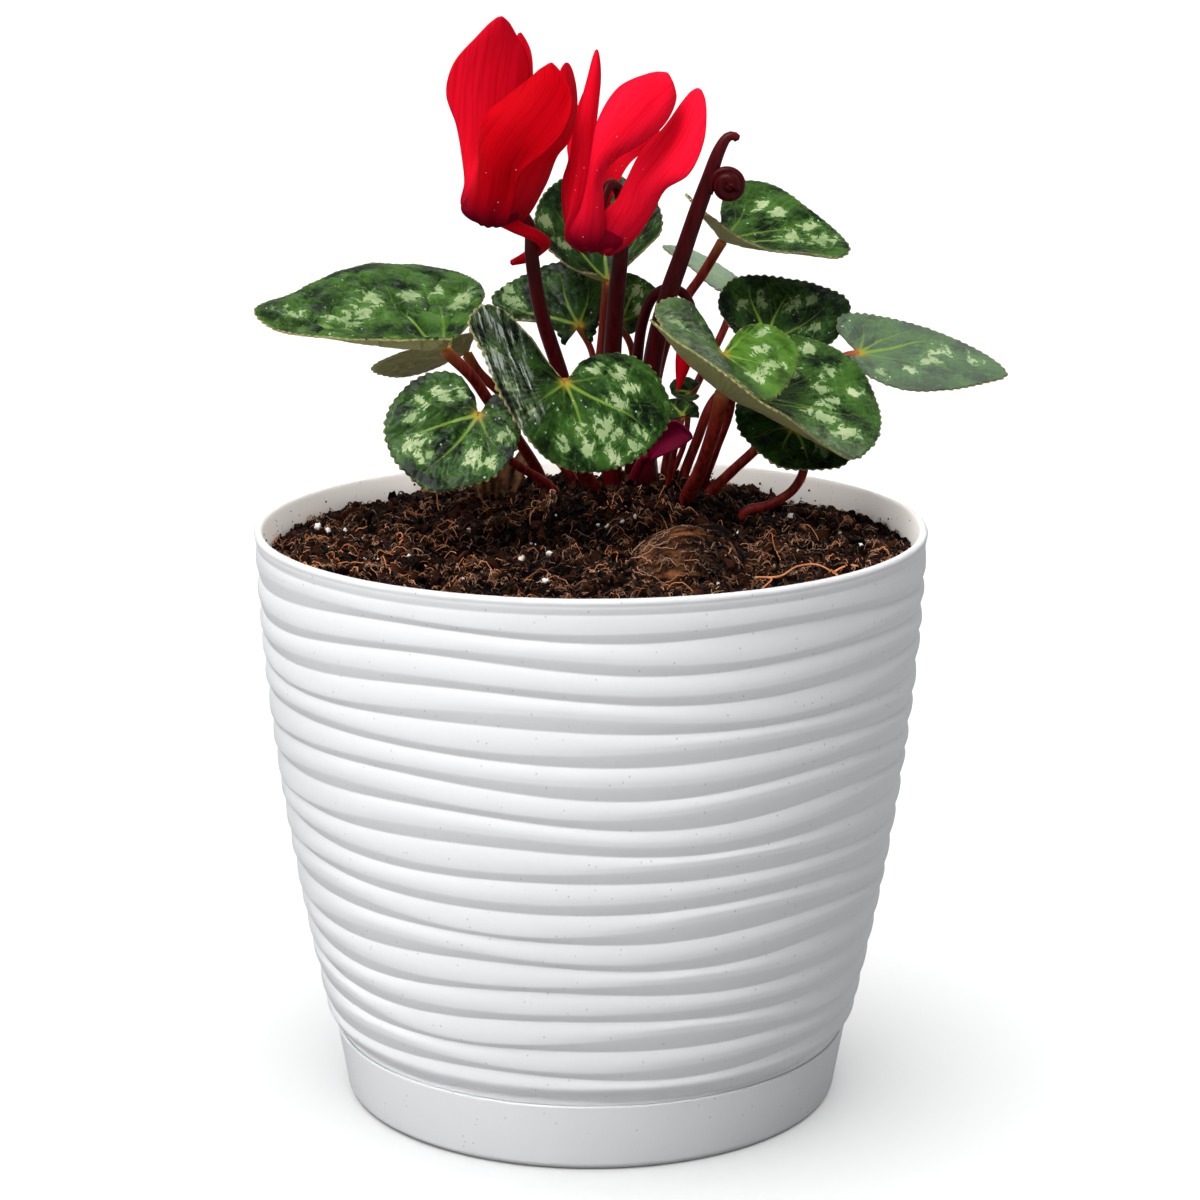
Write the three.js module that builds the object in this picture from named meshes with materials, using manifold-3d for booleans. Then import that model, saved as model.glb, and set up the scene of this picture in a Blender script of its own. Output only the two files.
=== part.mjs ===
// A potted cyclamen: a white ribbed pot on its saucer, peat soil, marbled leaves and two red blooms.
// Millimetres, +Z up, the origin is the middle of the saucer's underside and the viewer stands at -Y.

import * as THREE from 'three';
import * as BufferGeometryUtils from 'three/addons/utils/BufferGeometryUtils.js';
import Module from 'manifold-3d';

const wasm = await Module();
wasm.setup();

// ---------------------------------------------------------------- driving dimensions

const GAP = 0.3;              // clearance between pieces that rest on or in each other
const AROUND = 36;            // sides of the pot, the saucer and the soil

const RIM_RADIUS = 80;        // outside of the pot's lip
const POT_TOP = 140;          // height of the lip above the table
const WALL = 2.4;             // pot wall in the valleys between its ribs
const POT_FLOOR = 2.4;
const POT_FOOT_RADIUS = 57;   // the foot stands inside the saucer
const POT_NECK_RADIUS = 59.1; // the foot's radius at the saucer's top, under the lowest rib
const POT_INSIDE_FOOT = 55.4;
const WALL_HEIGHTS = [30, 60, 100];   // the inside of the wall bends at these heights
const LIP = [[-0.2, -2.6], [0, -1.6], [-0.5, -0.5], [-1.2, 0], [-1.9, -0.5]];  // from the rim, outwards and up
const LIP_GROOVE = 136.4;     // height of the groove under the lip
const FOOT_TAPER = 16.5;      // how much narrower the wall is at the saucer than at the lip
const TAPER_POWER = 1.75;     // the wall bends in faster near the foot

const RIB_COUNT = 17;
const RIB_PITCH = 6.98;
const RIB_TOP_LINE = 138;     // each rib's line is one pitch lower than the last, counted from here
const RIB_DEPTH = 0.9;
const RIB_LEAST = 1;          // a crest and the valley under it keep at least this distance

const TRAY_TOP = 15;          // height of the saucer's wall
const TRAY_TOP_RADIUS = 61.7;
const TRAY_FOOT_RADIUS = 59.8;
const TRAY_WALL = 1.6;
const TRAY_FLOOR = 2;
const RIB_BOTTOM = TRAY_TOP + 1.6;

// A rib's crest and its valley: how far above its line, how deep, and the waves that they make
// round the pot as [height, number round the pot, turn from rib to rib, start].
const CREST = {
  above: 2.04,
  depth: 0,
  waves: [[0.8, 1, -0.3, -1.67], [0.54, 4, 0.3, 2.07], [0.55, 4, -1.3, 0.77], [0.49, 4, -3, 1.76]],
};
const VALLEY = {
  above: -1.36,
  depth: RIB_DEPTH,
  waves: [[0.96, 1, 0.2, 3.04], [0.46, 3, 0.4, 0.35], [0.45, 4, -1.3, 0.02], [0.42, 5, -0.1, -0.58]],
};

const SOIL_EDGE = 135.2;      // soil level at the pot's wall
const SOIL_RISE = 9.2;        // the soil is heaped up this much round the crown
const CROWN = new THREE.Vector2(8, 26);
const HEAP_RADIUS = 48;
const SOIL_LUMP = 0.9;
const SOIL_FRONT_RISE = 2.6;  // the soil is this much higher at the front of the pot
const SOIL_RINGS = [1, 0.84, 0.68, 0.52, 0.36, 0.2];
const SOIL_FOOT = 0.8;        // clearance round the soil's foot

const BLADE_THICKNESS = 0.7;
const BLADE_RINGS = [0.42, 0.76, 1];
const TOOTH = 0.7;            // how far every second point of a leaf's edge stands out
const EDGE_POINTS = 24;
const SMALL_EDGE_POINTS = 12; // for a leaf with few veins
const FEW_VEINS = 8;
const CUT_BLOCK = [10, 10, 8]; // cuts off what a stalk has above its blade
const PETAL_THICKNESS = 0.7;
const ROOT_DEPTH = 7;         // how deep a stalk stands in the soil
const HOLE_CLEARANCE = 0.5;   // a stalk's hole is this much wider all round

const COLOURS = {
  pot: 0xf2f2f0, tray: 0xf4f4f2, soil: 0x3a2417, tuber: 0x6b4526, bark: 0x5a3a22,
  leaf: 0x2f6b35, petiole: 0x8a2e22, petal: 0xd40f24, scape: 0x4a1016, crimson: 0x8c1232,
};

// A leaf is given by the point where its stalk meets it, the heading of its midrib (0 is +X, 90 is +Y),
// the midrib's rise, the roll about it, and its main veins: [angle from the midrib, length, lift].
// Angles run on past 180 where a lobe curls round the notch.
const LEAVES = [
  {
    name: 'leaf_1', at: [-34, -8, 183], heading: 162, pitch: -1, roll: -11,
    veins: [[140, 5, 4], [69, 8, 5], [41, 18, 6], [20, 31, 6], [8, 41, 6], [0, 47, 8], [-20, 45, 8],
      [-40, 45, 9], [-56, 44, 8], [-73, 40, 6], [-84, 32, 6], [-98, 21, 6], [-121, 8, 4]],
    stalk: { radius: 1.4, via: [[-28, -5, 176], [-24, 0, 169], [-18, 9, 159]], foot: [-12, 25, 144] },
  },
  {
    name: 'leaf_2', at: [-30, 18, 178], heading: -178, pitch: -14, roll: 25,
    veins: [[134, 4, 2], [112, 8, 2], [88, 7, 2], [52, 9, 1], [21, 16, 2], [0, 23, 2], [-20, 21, 1],
      [-39, 18, 1], [-53, 11, 1], [-73, 3, 1]],
    stalk: { radius: 1.2, via: [[-27, 18, 173], [-22, 19, 168], [-15, 21, 159]], foot: [-4, 30, 143] },
  },
  {
    name: 'leaf_3', at: [-26, -18, 169], heading: -140, pitch: -48, roll: -42,
    veins: [[-137, 5, -1], [-122, 11, 0], [-102, 15, 0], [-81, 18, 0], [-57, 21, 1], [-39, 22, 1],
      [-22, 22, 2], [1, 22, 3], [19, 19, 3], [45, 16, 3], [70, 13, 3], [107, 10, 2], [148, 8, 1], [175, 6, 0]],
    stalk: { radius: 1.1, via: [[-25, -6, 161], [-18, 10, 152]], foot: [-9, 20, 143] },
  },
  {
    name: 'leaf_4', at: [-6, -20, 177], heading: -78, pitch: -60, roll: 5,
    veins: [[-136, 11, 9], [-133, 20, 14], [-127, 23, 16], [-113, 24, 18], [-97, 20, 18], [-70, 18, 16],
      [-38, 19, 11], [-16, 21, 5], [4, 22, 1], [23, 23, -1], [40, 24, -2], [60, 25, -3], [74, 25, -3],
      [95, 21, -2], [109, 17, -1], [126, 11, -1], [138, 6, 0]],
    stalk: { radius: 1.4, via: [[-4, -6, 166], [-3, 8, 153]], foot: [1, 18, 144] },
  },
  {
    name: 'leaf_5', at: [-3, 40, 181], heading: 112, pitch: 48, roll: -17,
    veins: [[-163, 5, -1], [-90, 5, 0], [-56, 11, 0], [-28, 17, 0], [0, 19, 0], [26, 21, -2], [45, 23, -2],
      [55, 23, -1], [64, 18, -2], [70, 11, 1], [84, 6, 0], [131, 6, -1]],
    stalk: { radius: 0.8, via: [[0, 41, 175], [2, 38, 163], [5, 36, 153]], foot: [7.5, 35, 143] },
  },
  {
    name: 'leaf_6', at: [4, 34, 193], heading: 96, pitch: 50, roll: -5,
    veins: [[118, 3, 6], [87, 8, 6], [71, 13, 7], [56, 20, 7], [37, 25, 7], [19, 28, 6], [0, 28, 5],
      [-21, 26, 5], [-38, 22, 6], [-54, 17, 6], [-66, 10, 7], [-80, 5, 6]],
    stalk: { radius: 1.2, via: [[3, 34, 181], [2, 34, 169], [3, 33, 154]], foot: [4, 30, 143] },
  },
  {
    name: 'leaf_7', at: [7, 46, 181], heading: 42, pitch: 43, roll: 38,
    veins: [[59, 6, 1], [42, 11, 3], [24, 13, 2], [-2, 13, 1], [-21, 12, 2], [-33, 8, 1], [-81, 5, 0],
      [-114, 4, 0]],
    stalk: { radius: 0.9, via: [[10, 46, 175], [11, 43, 162], [11, 40, 152]], foot: [12, 38, 142] },
  },
  {
    name: 'leaf_8', at: [32, 28, 204], heading: 7, pitch: -18, roll: 21,
    veins: [[-206, 13, 6], [-178, 8, 6], [-111, 6, 6], [-58, 9, 5], [-39, 13, 5], [-21, 19, 6], [-5, 28, 6],
      [3, 30, 7], [19, 28, 7], [38, 24, 8], [61, 24, 8], [80, 21, 7], [90, 17, 5], [96, 10, 2]],
    stalk: { radius: 1.2, via: [[27, 30, 195], [23, 30, 189], [18, 30, 177], [15, 30, 159]],
      foot: [15.5, 30, 143] },
  },
  {
    name: 'leaf_9', at: [36, 50, 189], heading: 157, pitch: 19, roll: -13,
    veins: [[90, 4, 0], [45, 7, 1], [20, 12, 3], [0, 21, 3], [-19, 17, 2], [-40, 10, 1], [-80, 5, 0]],
    stalk: { radius: 1.0, via: [[34, 48, 181], [27, 44, 167], [20, 38, 153]], foot: [18, 36, 142] },
  },
  {
    name: 'leaf_10', at: [43, 26, 179], heading: 71, pitch: 43, roll: 13,
    veins: [[105, 6, 1], [74, 12, 2], [61, 16, 2], [42, 19, 2], [25, 20, 1], [3, 20, 0], [-20, 22, -1],
      [-44, 24, -1], [-65, 18, -1], [-84, 13, 0], [-112, 7, 0]],
    stalk: { radius: 1.2, via: [[38, 27, 172], [30, 25, 165], [26, 26, 155]], foot: [22, 29, 142] },
  },
  {
    name: 'leaf_11', at: [65, 22, 177], heading: 0, pitch: -10, roll: 35,
    veins: [[-129, 4, 0], [-68, 8, 0], [-40, 15, 0], [-21, 23, 1], [-8, 30, 1], [1, 36, 1], [14, 31, 0],
      [31, 23, 0], [54, 17, 0], [81, 13, 1], [119, 11, 2], [138, 8, 1]],
    stalk: { radius: 1.3, via: [[62, 23, 176], [54, 22, 171], [47, 20, 162], [40, 19, 154], [34, 20, 148]],
      foot: [28, 21, 141] },
  },
  {
    name: 'leaf_12', at: [31, -4, 181], heading: -111, pitch: -8, roll: -34,
    veins: [[-112, 9, 2], [-104, 14, 4], [-93, 18, 3], [-77, 19, 1], [-56, 17, 1], [-34, 15, 2], [-6, 15, 3],
      [20, 17, 4], [50, 20, 3], [76, 17, 4], [104, 16, 6], [129, 16, 8], [147, 14, 8], [167, 12, 7],
      [182, 9, 5], [189, 4, 2]],
    stalk: { radius: 1.1, via: [[33, 1, 173], [33, 5, 166], [30, 12, 155]], foot: [27.5, 26.5, 142] },
  },
  {
    name: 'leaf_13', at: [31, -8, 173], heading: 14, pitch: -25, roll: 24,
    veins: [[-186, 24, 8], [-164, 20, 9], [-140, 17, 10], [-111, 17, 11],
      [-84, 18, 10], [-59, 21, 9], [-38, 26, 6], [-19, 34, 3], [-4, 38, 6], [9, 39, 8], [24, 39, 10],
      [34, 37, 11], [46, 34, 10], [56, 29, 9], [68, 22, 7]],
    stalk: { radius: 1.7, via: [[29, -3, 163], [26, 6, 151]], foot: [23, 14, 142] },
  },
  {
    name: 'leaf_14', at: [48, 4, 162], heading: -134, pitch: -36, roll: -29,
    veins: [[148, 7, 0], [111, 14, 0], [85, 16, 0], [51, 13, 1], [18, 12, 1], [-22, 11, 1], [-56, 13, 1],
      [-79, 14, 2], [-102, 9, 1]],
    stalk: { radius: 1.4, via: [[51, 9, 155], [51, 10, 150], [48.5, 10.5, 145.5], [43, 10.5, 142]],
      foot: [37, 10.5, 140] },
  },
  {
    name: 'small_leaf_1', tooth: 0.2, at: [24, 24, 167], heading: 174, pitch: 5, roll: -40,
    veins: [[-126, 4, 0], [-72, 5, 0], [-17, 5, 1], [31, 4, 1], [99, 3, 1], [150, 3, 1]],
    stalk: { radius: 0.7, via: [[23, 25, 155]], foot: [19, 26.5, 143] },
  },
  {
    name: 'small_leaf_2', tooth: 0.2, at: [22, 14, 163], heading: 142, pitch: 36, roll: -37,
    veins: [[-134, 4, 0], [-82, 5, -1], [-48, 5, -1], [-8, 6, -1], [29, 5, 0], [80, 4, 1]],
    stalk: { radius: 0.7, via: [[20, 18, 152]], foot: [18.5, 20, 143] },
  },
];

// A petal is given by its midline from the nose to the tip, half its width at each of those points,
// the direction that its face looks in, and how far its edges curl toward that direction.
const TOWARD_VIEWER = [0, -1, 0.15];
const BLOOMS = [
  {
    name: 'bloom_1', nose: [-24, 0, 214], noseSize: [7.4, 5.4, 3.4],
    petals: [
      { line: [[-27, 2, 213], [-26.6, 8, 224.5], [-25.6, 10, 234], [-24.3, 10, 244],
          [-23, 9, 252], [-21, 7, 258.5]],
        half: [3, 2.9, 5.4, 9.4, 6, 1.3], face: TOWARD_VIEWER, curl: 0.12 },
      { line: [[-24, 3, 214], [-22, 15, 227], [-20, 17, 238], [-18, 16, 248], [-18, 14, 255]],
        half: [2.5, 3.5, 5, 4.2, 1.2], face: TOWARD_VIEWER, curl: 0.1 },
      { line: [[-23, -3, 212], [-22, -9, 222], [-17, -11, 232], [-13, -9, 239], [-10, -4, 248]],
        half: [4, 5, 7.6, 8, 1.4], face: TOWARD_VIEWER, curl: -0.15 },
      { line: [[-20, 1, 213], [-12, 3, 223], [-8, 5, 232], [-6, 7, 240], [-6, 8, 248]],
        half: [2.5, 3, 3.2, 3, 1], face: [0.4, -1, 0.4], curl: 0.15 },
      { line: [[-20, 0, 212], [-15, 0.5, 209.5], [-11.5, 4, 207], [-11, 14, 204],
          [-15, 16, 201], [-20, 14, 200]],
        half: [1.8, 1.4, 1.2, 1.3, 1.4, 0.8], face: [0, 0.2, 1], curl: 0 },
    ],
  },
  {
    name: 'bloom_2', nose: [1, 0, 208], noseSize: [6.6, 5, 3.4],
    petals: [
      { line: [[-4, 1, 209], [-4, 1, 221], [-2, 1, 233], [0, 2, 243], [2, 3, 251]],
        half: [1.6, 3, 3.4, 1.8, 0.7], face: TOWARD_VIEWER, curl: 0.3 },
      { line: [[0, -3.5, 209], [0.7, -7.5, 219], [2.8, -9, 227], [6.8, -9, 232.5],
          [11.6, -7, 239], [17, -3, 246.4]],
        half: [2.8, 2.6, 3.4, 5.6, 7.4, 1.6], face: TOWARD_VIEWER, curl: 0.12 },
      { line: [[5, -2, 209.4], [10.2, -5, 216.5], [14.1, -6, 223.8], [19.6, -4, 229],
          [23, -1, 236.1], [25, 1, 242.9]],
        half: [3.4, 5, 4.8, 4.8, 3.1, 1], face: [-0.5, -1, 0.3], curl: 0.15 },
      { line: [[3, 4, 208], [6, 13, 219], [11, 16, 227], [15, 16, 233], [17, 15, 238]],
        half: [2, 2.2, 2.6, 2.4, 1], face: TOWARD_VIEWER, curl: 0.1 },
      { line: [[-2, 4, 208], [-3, 12, 222], [-3, 15, 234], [-1, 16, 241], [-3, 15, 246]],
        half: [2.4, 3, 3, 1.2, 1.7], face: TOWARD_VIEWER, curl: 0.1 },
    ],
  },
];

// Flower stalks: a thick lower run and a thinner hook at the top.
const SCAPES = [
  {
    name: 'scape_1', foot: [-1, 25, 144],
    runs: [
      { radius: 1.8, points: [[-4, 20, 159], [-7, 16, 172], [-12, 12, 189], [-14, 10, 202]] },
      { radius: 1.4, points: [[-12, 12, 189], [-14, 10, 202], [-14.5, 10, 209],
        [-17, 9, 213], [-20, 6.75, 213.6]] },
    ],
  },
  {
    name: 'scape_2', foot: [5.5, 22, 143],
    runs: [
      { radius: 2.1, points: [[4, 20, 159], [5, 16, 176], [6, 12, 192], [7, 9, 203]] },
      { radius: 1.2, points: [[6, 12, 192], [7, 9, 203], [7.5, 7.5, 212], [6.5, 5.5, 218.5], [4.5, 3, 220],
        [3, 1, 217], [2.4, 0.3, 212.6]] },
    ],
  },
  {
    name: 'bare_stalk', foot: [14, 24, 143],
    runs: [
      { radius: 2.2, points: [[13.5, 22, 160], [15, 20, 176], [18, 18, 190], [22, 18, 202],
        [25.5, 18, 212.5]] },
      { radius: 1.7, points: [[22, 18, 202], [25.5, 18, 212.5], [28, 18, 219.5], [30.5, 18, 226.5],
        [32.6, 18, 229.4], [34.8, 18, 229.4]] },
    ],
  },
  {
    name: 'bud_stalk', foot: [9.5, 28, 143],
    runs: [
      { radius: 1.3, points: [[10, 27, 156], [11, 26, 171], [12.5, 25, 184], [15, 24, 190.5], [18, 24, 192.5],
        [21.5, 24, 192], [24, 23, 189], [24.4, 21.5, 185.5]] },
    ],
  },
];

// The curled tip of a spent flower stalk, grown on the bare stalk: a loop round a small ball.
const COIL = {
  centre: [32.6, 18, 217.4], loopRadius: 4.1, tubeRadius: 1.05,
  turns: [-200, -250, -300, -350, -400, -450, -500],
  ball: [2.7, 2, 2.7], bulge: { shift: [-1.8, 0, -1.4], size: [2.4, 1.6, 2.2] },
};
const BUD = { top: [24.3, 21.2, 185.15], tip: [21, 18, 168.5], radius: 1.9 };
const YOUNG_LEAF = {
  line: [[12, 17, 151], [15, 13, 155.5], [19, 10.5, 159], [24, 9, 160]],
  half: [1.2, 3, 3.4, 0.8], face: [0.5, -1, 0.3], curl: 0.35, foot: [9.5, 21, 143], radius: 1.1,
};

const TUBER = { at: [22, -38, 137.5], size: [12.6, 20, 8.5] };
const BARK = { at: [-21, 30, 144], size: [3.8, 2.4, 4.6] };

// ---------------------------------------------------------------- small tools

const rad = THREE.MathUtils.degToRad;
const vec = (point) => new THREE.Vector3(...point);

function seededNoise(seed) {
  let state = seed;
  return () => {
    state = (state * 1664525 + 1013904223) % 4294967296;
    return state / 4294967296;
  };
}

function bareGeometry(geometry) {
  const bare = geometry.clone();
  bare.deleteAttribute('normal');
  bare.deleteAttribute('uv');
  return BufferGeometryUtils.mergeVertices(bare, 1e-3);
}

function toSolid(geometry) {
  const bare = bareGeometry(geometry);
  return new wasm.Manifold(new wasm.Mesh({
    numProp: 3,
    vertProperties: new Float32Array(bare.attributes.position.array),
    triVerts: new Uint32Array(bare.index.array),
  }));
}

function toGeometry(solid) {
  const mesh = solid.getMesh();
  const geometry = new THREE.BufferGeometry();
  geometry.setAttribute('position', new THREE.BufferAttribute(new Float32Array(mesh.vertProperties), 3));
  geometry.setIndex(new THREE.BufferAttribute(new Uint32Array(mesh.triVerts), 1));
  return geometry;
}

const largestPiece = (solid) => solid.decompose().sort((a, b) => b.volume() - a.volume())[0];

const fuse = (solids) => solids.reduce((sum, solid) => sum.add(solid));

function indexedGeometry(points, triangles) {
  const geometry = new THREE.BufferGeometry();
  geometry.setAttribute('position', new THREE.Float32BufferAttribute(points.flatMap((p) => p.toArray()), 3));
  geometry.setIndex(triangles.flat());
  return geometry;
}

// Gives a sheet a thickness: both faces have the same triangles and the open edge is closed by a strip.
function thickSheet(points, triangles, thickness) {
  const sheet = indexedGeometry(points, triangles);
  sheet.computeVertexNormals();
  const normals = points.map((_, i) => new THREE.Vector3().fromBufferAttribute(sheet.attributes.normal, i));
  const upper = points.map((p, i) => p.clone().addScaledVector(normals[i], thickness / 2));
  const lower = points.map((p, i) => p.clone().addScaledVector(normals[i], -thickness / 2));
  const shift = points.length;
  const faces = triangles.flatMap(([a, b, c]) => [[a, b, c], [a + shift, c + shift, b + shift]]);
  const directed = new Set(triangles.flatMap(([a, b, c]) => [`${a}>${b}`, `${b}>${c}`, `${c}>${a}`]));
  directed.forEach((edge) => {
    const [a, b] = edge.split('>').map(Number);
    if (!directed.has(`${b}>${a}`)) {
      faces.push([b, a, a + shift], [b, a + shift, b + shift]);
    }
  });
  return indexedGeometry([...upper, ...lower], faces);
}

// A round solid built from rings of points, closed by a point on the axis at each end.
function ringSolid(rings, first, last, around = AROUND) {
  const points = [first, ...rings.flat(), last];
  const triangles = [];
  const at = (ring, i) => 1 + ring * around + (i % around);
  for (let i = 0; i < around; i += 1) {
    triangles.push([0, at(0, i + 1), at(0, i)]);
    triangles.push([points.length - 1, at(rings.length - 1, i), at(rings.length - 1, i + 1)]);
    for (let ring = 0; ring + 1 < rings.length; ring += 1) {
      triangles.push([at(ring, i), at(ring, i + 1), at(ring + 1, i + 1)]);
      triangles.push([at(ring, i), at(ring + 1, i + 1), at(ring + 1, i)]);
    }
  }
  return indexedGeometry(points, triangles);
}

function ring(radius, height, around = AROUND) {
  return Array.from({ length: around }, (_, i) => {
    const angle = (i / around) * Math.PI * 2;
    return new THREE.Vector3(radius * Math.cos(angle), radius * Math.sin(angle), height);
  });
}

// A round tube along a smooth curve through the given points.
function tube(points, radius, sides = 6, stepLength = 6) {
  const curve = new THREE.CatmullRomCurve3(points.map(vec));
  const section = new THREE.Shape();
  for (let i = 0; i < sides; i += 1) {
    const angle = (i / sides) * Math.PI * 2;
    section[i ? 'lineTo' : 'moveTo'](radius * Math.cos(angle), radius * Math.sin(angle));
  }
  section.closePath();
  return new THREE.ExtrudeGeometry(section, {
    steps: Math.max(3, Math.round(curve.getLength() / stepLength)),
    extrudePath: curve,
    bevelEnabled: false,
  });
}

function ellipsoid(centre, size, columns = 10, rows = 6) {
  const ball = new THREE.SphereGeometry(1, columns, rows);
  ball.rotateX(Math.PI / 2);
  ball.scale(...size);
  ball.translate(...centre);
  return ball;
}

// ---------------------------------------------------------------- pot and saucer

const potRadius = (z) => RIM_RADIUS - 0.2 - FOOT_TAPER * ((POT_TOP - z) / (POT_TOP - TRAY_TOP)) ** TAPER_POWER;
const potInside = (z) => potRadius(z) - RIB_DEPTH - WALL;

// The crests and the valleys rise and fall on their own, so that the ribs swell and narrow like dunes.
function ribHeight(angle, rib, { above, waves }) {
  const line = RIB_TOP_LINE - RIB_PITCH * rib + above;
  return waves.reduce((z, [height, number, turn, start]) => (
    z + height * Math.sin(number * angle + turn * rib + start)
  ), line);
}

function ribRings() {
  const rings = [ring(potRadius(LIP_GROOVE) - RIB_DEPTH, LIP_GROOVE)];
  for (let rib = 1; rib <= RIB_COUNT; rib += 1) {
    for (const fold of [CREST, VALLEY]) {
      rings.push(rings.at(-1).map((upper) => {
        const angle = Math.atan2(upper.y, upper.x);
        const wanted = Math.min(ribHeight(angle, rib, fold), upper.z - RIB_LEAST);
        const z = Math.max(wanted, RIB_BOTTOM + RIB_LEAST);
        const radius = potRadius(z) - fold.depth;
        return new THREE.Vector3(Math.cos(angle) * radius, Math.sin(angle) * radius, z);
      }));
    }
  }
  return rings.reverse();
}

function potGeometry() {
  const floor = TRAY_FLOOR + GAP;
  const rings = [
    ring(POT_FOOT_RADIUS, floor),
    ring(POT_NECK_RADIUS, TRAY_TOP + 0.4),
    ring(TRAY_TOP_RADIUS - 0.4, TRAY_TOP + 0.5),
    ring(potRadius(RIB_BOTTOM) - RIB_DEPTH, RIB_BOTTOM),
    ...ribRings(),
    ...LIP.map(([out, up]) => ring(RIM_RADIUS + out, POT_TOP + up)),
    ring(potInside(POT_TOP - 5) + 0.5, POT_TOP - 5),
    ...WALL_HEIGHTS.toReversed().map((height) => ring(potInside(height), height)),
    ring(POT_INSIDE_FOOT, floor + POT_FLOOR),
  ];
  return ringSolid(rings, new THREE.Vector3(0, 0, floor), new THREE.Vector3(0, 0, floor + POT_FLOOR));
}

function trayGeometry() {
  const rings = [
    ring(TRAY_FOOT_RADIUS - 1, 0),
    ring(TRAY_FOOT_RADIUS, 1),
    ring(TRAY_TOP_RADIUS, TRAY_TOP - 0.6),
    ring(TRAY_TOP_RADIUS - 0.5, TRAY_TOP),
    ring(TRAY_TOP_RADIUS - TRAY_WALL + 0.2, TRAY_TOP),
    ring(TRAY_TOP_RADIUS - TRAY_WALL, TRAY_TOP - 0.5),
    ring(TRAY_FOOT_RADIUS - TRAY_WALL, TRAY_FLOOR),
  ];
  return ringSolid(rings, new THREE.Vector3(0, 0, 0), new THREE.Vector3(0, 0, TRAY_FLOOR));
}

// ---------------------------------------------------------------- soil

function soilHeight(x, y) {
  const fromCrown = Math.hypot((x - CROWN.x) * 0.8, y - CROWN.y) / HEAP_RADIUS;
  const heap = SOIL_RISE * Math.exp(-2.2 * fromCrown * fromCrown);
  return SOIL_EDGE + heap + SOIL_FRONT_RISE * Math.max(0, -y / RIM_RADIUS);
}

function soilGeometry() {
  const random = seededNoise(7);
  const edge = potInside(SOIL_EDGE) - GAP;
  const top = SOIL_RINGS.map((share) => ring(edge * share, 0).map((point) => {
    const lump = share === 1 ? 0 : SOIL_LUMP * (random() * 2 - 1);
    return new THREE.Vector3(point.x, point.y, soilHeight(point.x, point.y) + lump);
  }));
  const base = TRAY_FLOOR + GAP + POT_FLOOR + GAP;
  const rings = [
    ring(POT_INSIDE_FOOT - SOIL_FOOT, base),
    ...WALL_HEIGHTS.map((height) => ring(potInside(height) - GAP, height)),
    ...top,
  ];
  const middle = new THREE.Vector3(0, 0, soilHeight(0, 0));
  return ringSolid(rings, new THREE.Vector3(0, 0, base), middle);
}

function tuberGeometry(grow = 0) {
  const ball = ellipsoid(TUBER.at, TUBER.size.map((radius) => radius + grow), 12, 8);
  const position = ball.attributes.position;
  const middle = vec(TUBER.at);
  for (let i = 0; i < position.count; i += 1) {
    const point = new THREE.Vector3().fromBufferAttribute(position, i);
    const bump = 1 + 0.04 * Math.sin(point.x * 0.9) * Math.cos(point.y * 0.7 + 1);
    point.sub(middle).multiplyScalar(bump).add(middle);
    position.setXYZ(i, point.x, point.y, point.z);
  }
  return ball;
}

// ---------------------------------------------------------------- leaves

function leafFrame({ at, heading, pitch, roll }) {
  const forward = new THREE.Vector3(
    Math.cos(rad(pitch)) * Math.cos(rad(heading)),
    Math.cos(rad(pitch)) * Math.sin(rad(heading)),
    Math.sin(rad(pitch)),
  );
  const level = new THREE.Vector3(-Math.sin(rad(heading)), Math.cos(rad(heading)), 0);
  const left = level.clone().applyAxisAngle(forward, rad(roll));
  const up = new THREE.Vector3().crossVectors(forward, left);
  return { origin: vec(at), forward, left, up };
}

// The blade's sheet: rings round the stalk, each point on a vein's curve from the stalk to the edge.
function bladeSheet(leaf, columns) {
  const { origin, forward, left, up } = leafFrame(leaf);
  const edge = new THREE.CatmullRomCurve3(leaf.veins.map(([angle, length, lift]) => new THREE.Vector3(
    length * Math.cos(rad(angle)), length * Math.sin(rad(angle)), lift)));
  const points = [origin.clone()];
  for (let column = 0; column <= columns; column += 1) {
    const end = edge.getPoint(column / columns);
    const flat = Math.hypot(end.x, end.y);
    const tooth = column % 2 ? leaf.tooth ?? TOOTH : 0;
    BLADE_RINGS.forEach((share) => {
      const reach = share + (share === 1 ? tooth / flat : 0);
      const lift = end.z * share ** 1.5;
      points.push(origin.clone()
        .addScaledVector(forward, end.x * reach)
        .addScaledVector(left, end.y * reach)
        .addScaledVector(up, lift));
    });
  }
  const rings = BLADE_RINGS.length;
  const at = (column, ringIndex) => 1 + column * rings + ringIndex;
  const triangles = [];
  for (let column = 0; column < columns; column += 1) {
    triangles.push([0, at(column, 0), at(column + 1, 0)]);
    for (let ringIndex = 0; ringIndex + 1 < rings; ringIndex += 1) {
      triangles.push([at(column, ringIndex), at(column, ringIndex + 1), at(column + 1, ringIndex + 1)]);
      triangles.push([at(column, ringIndex), at(column + 1, ringIndex + 1), at(column + 1, ringIndex)]);
    }
  }
  const turnsLeft = leaf.veins[0][0] < leaf.veins.at(-1)[0];
  return { points, triangles: turnsLeft ? triangles : triangles.map(([a, b, c]) => [a, c, b]) };
}

function bladeGeometry(leaf, thickness = BLADE_THICKNESS) {
  const columns = leaf.veins.length > FEW_VEINS ? EDGE_POINTS : SMALL_EDGE_POINTS;
  const { points, triangles } = bladeSheet(leaf, columns);
  return thickSheet(points, triangles, thickness);
}

const inGround = (foot) => [foot, [foot[0], foot[1], foot[2] - ROOT_DEPTH]];

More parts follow.
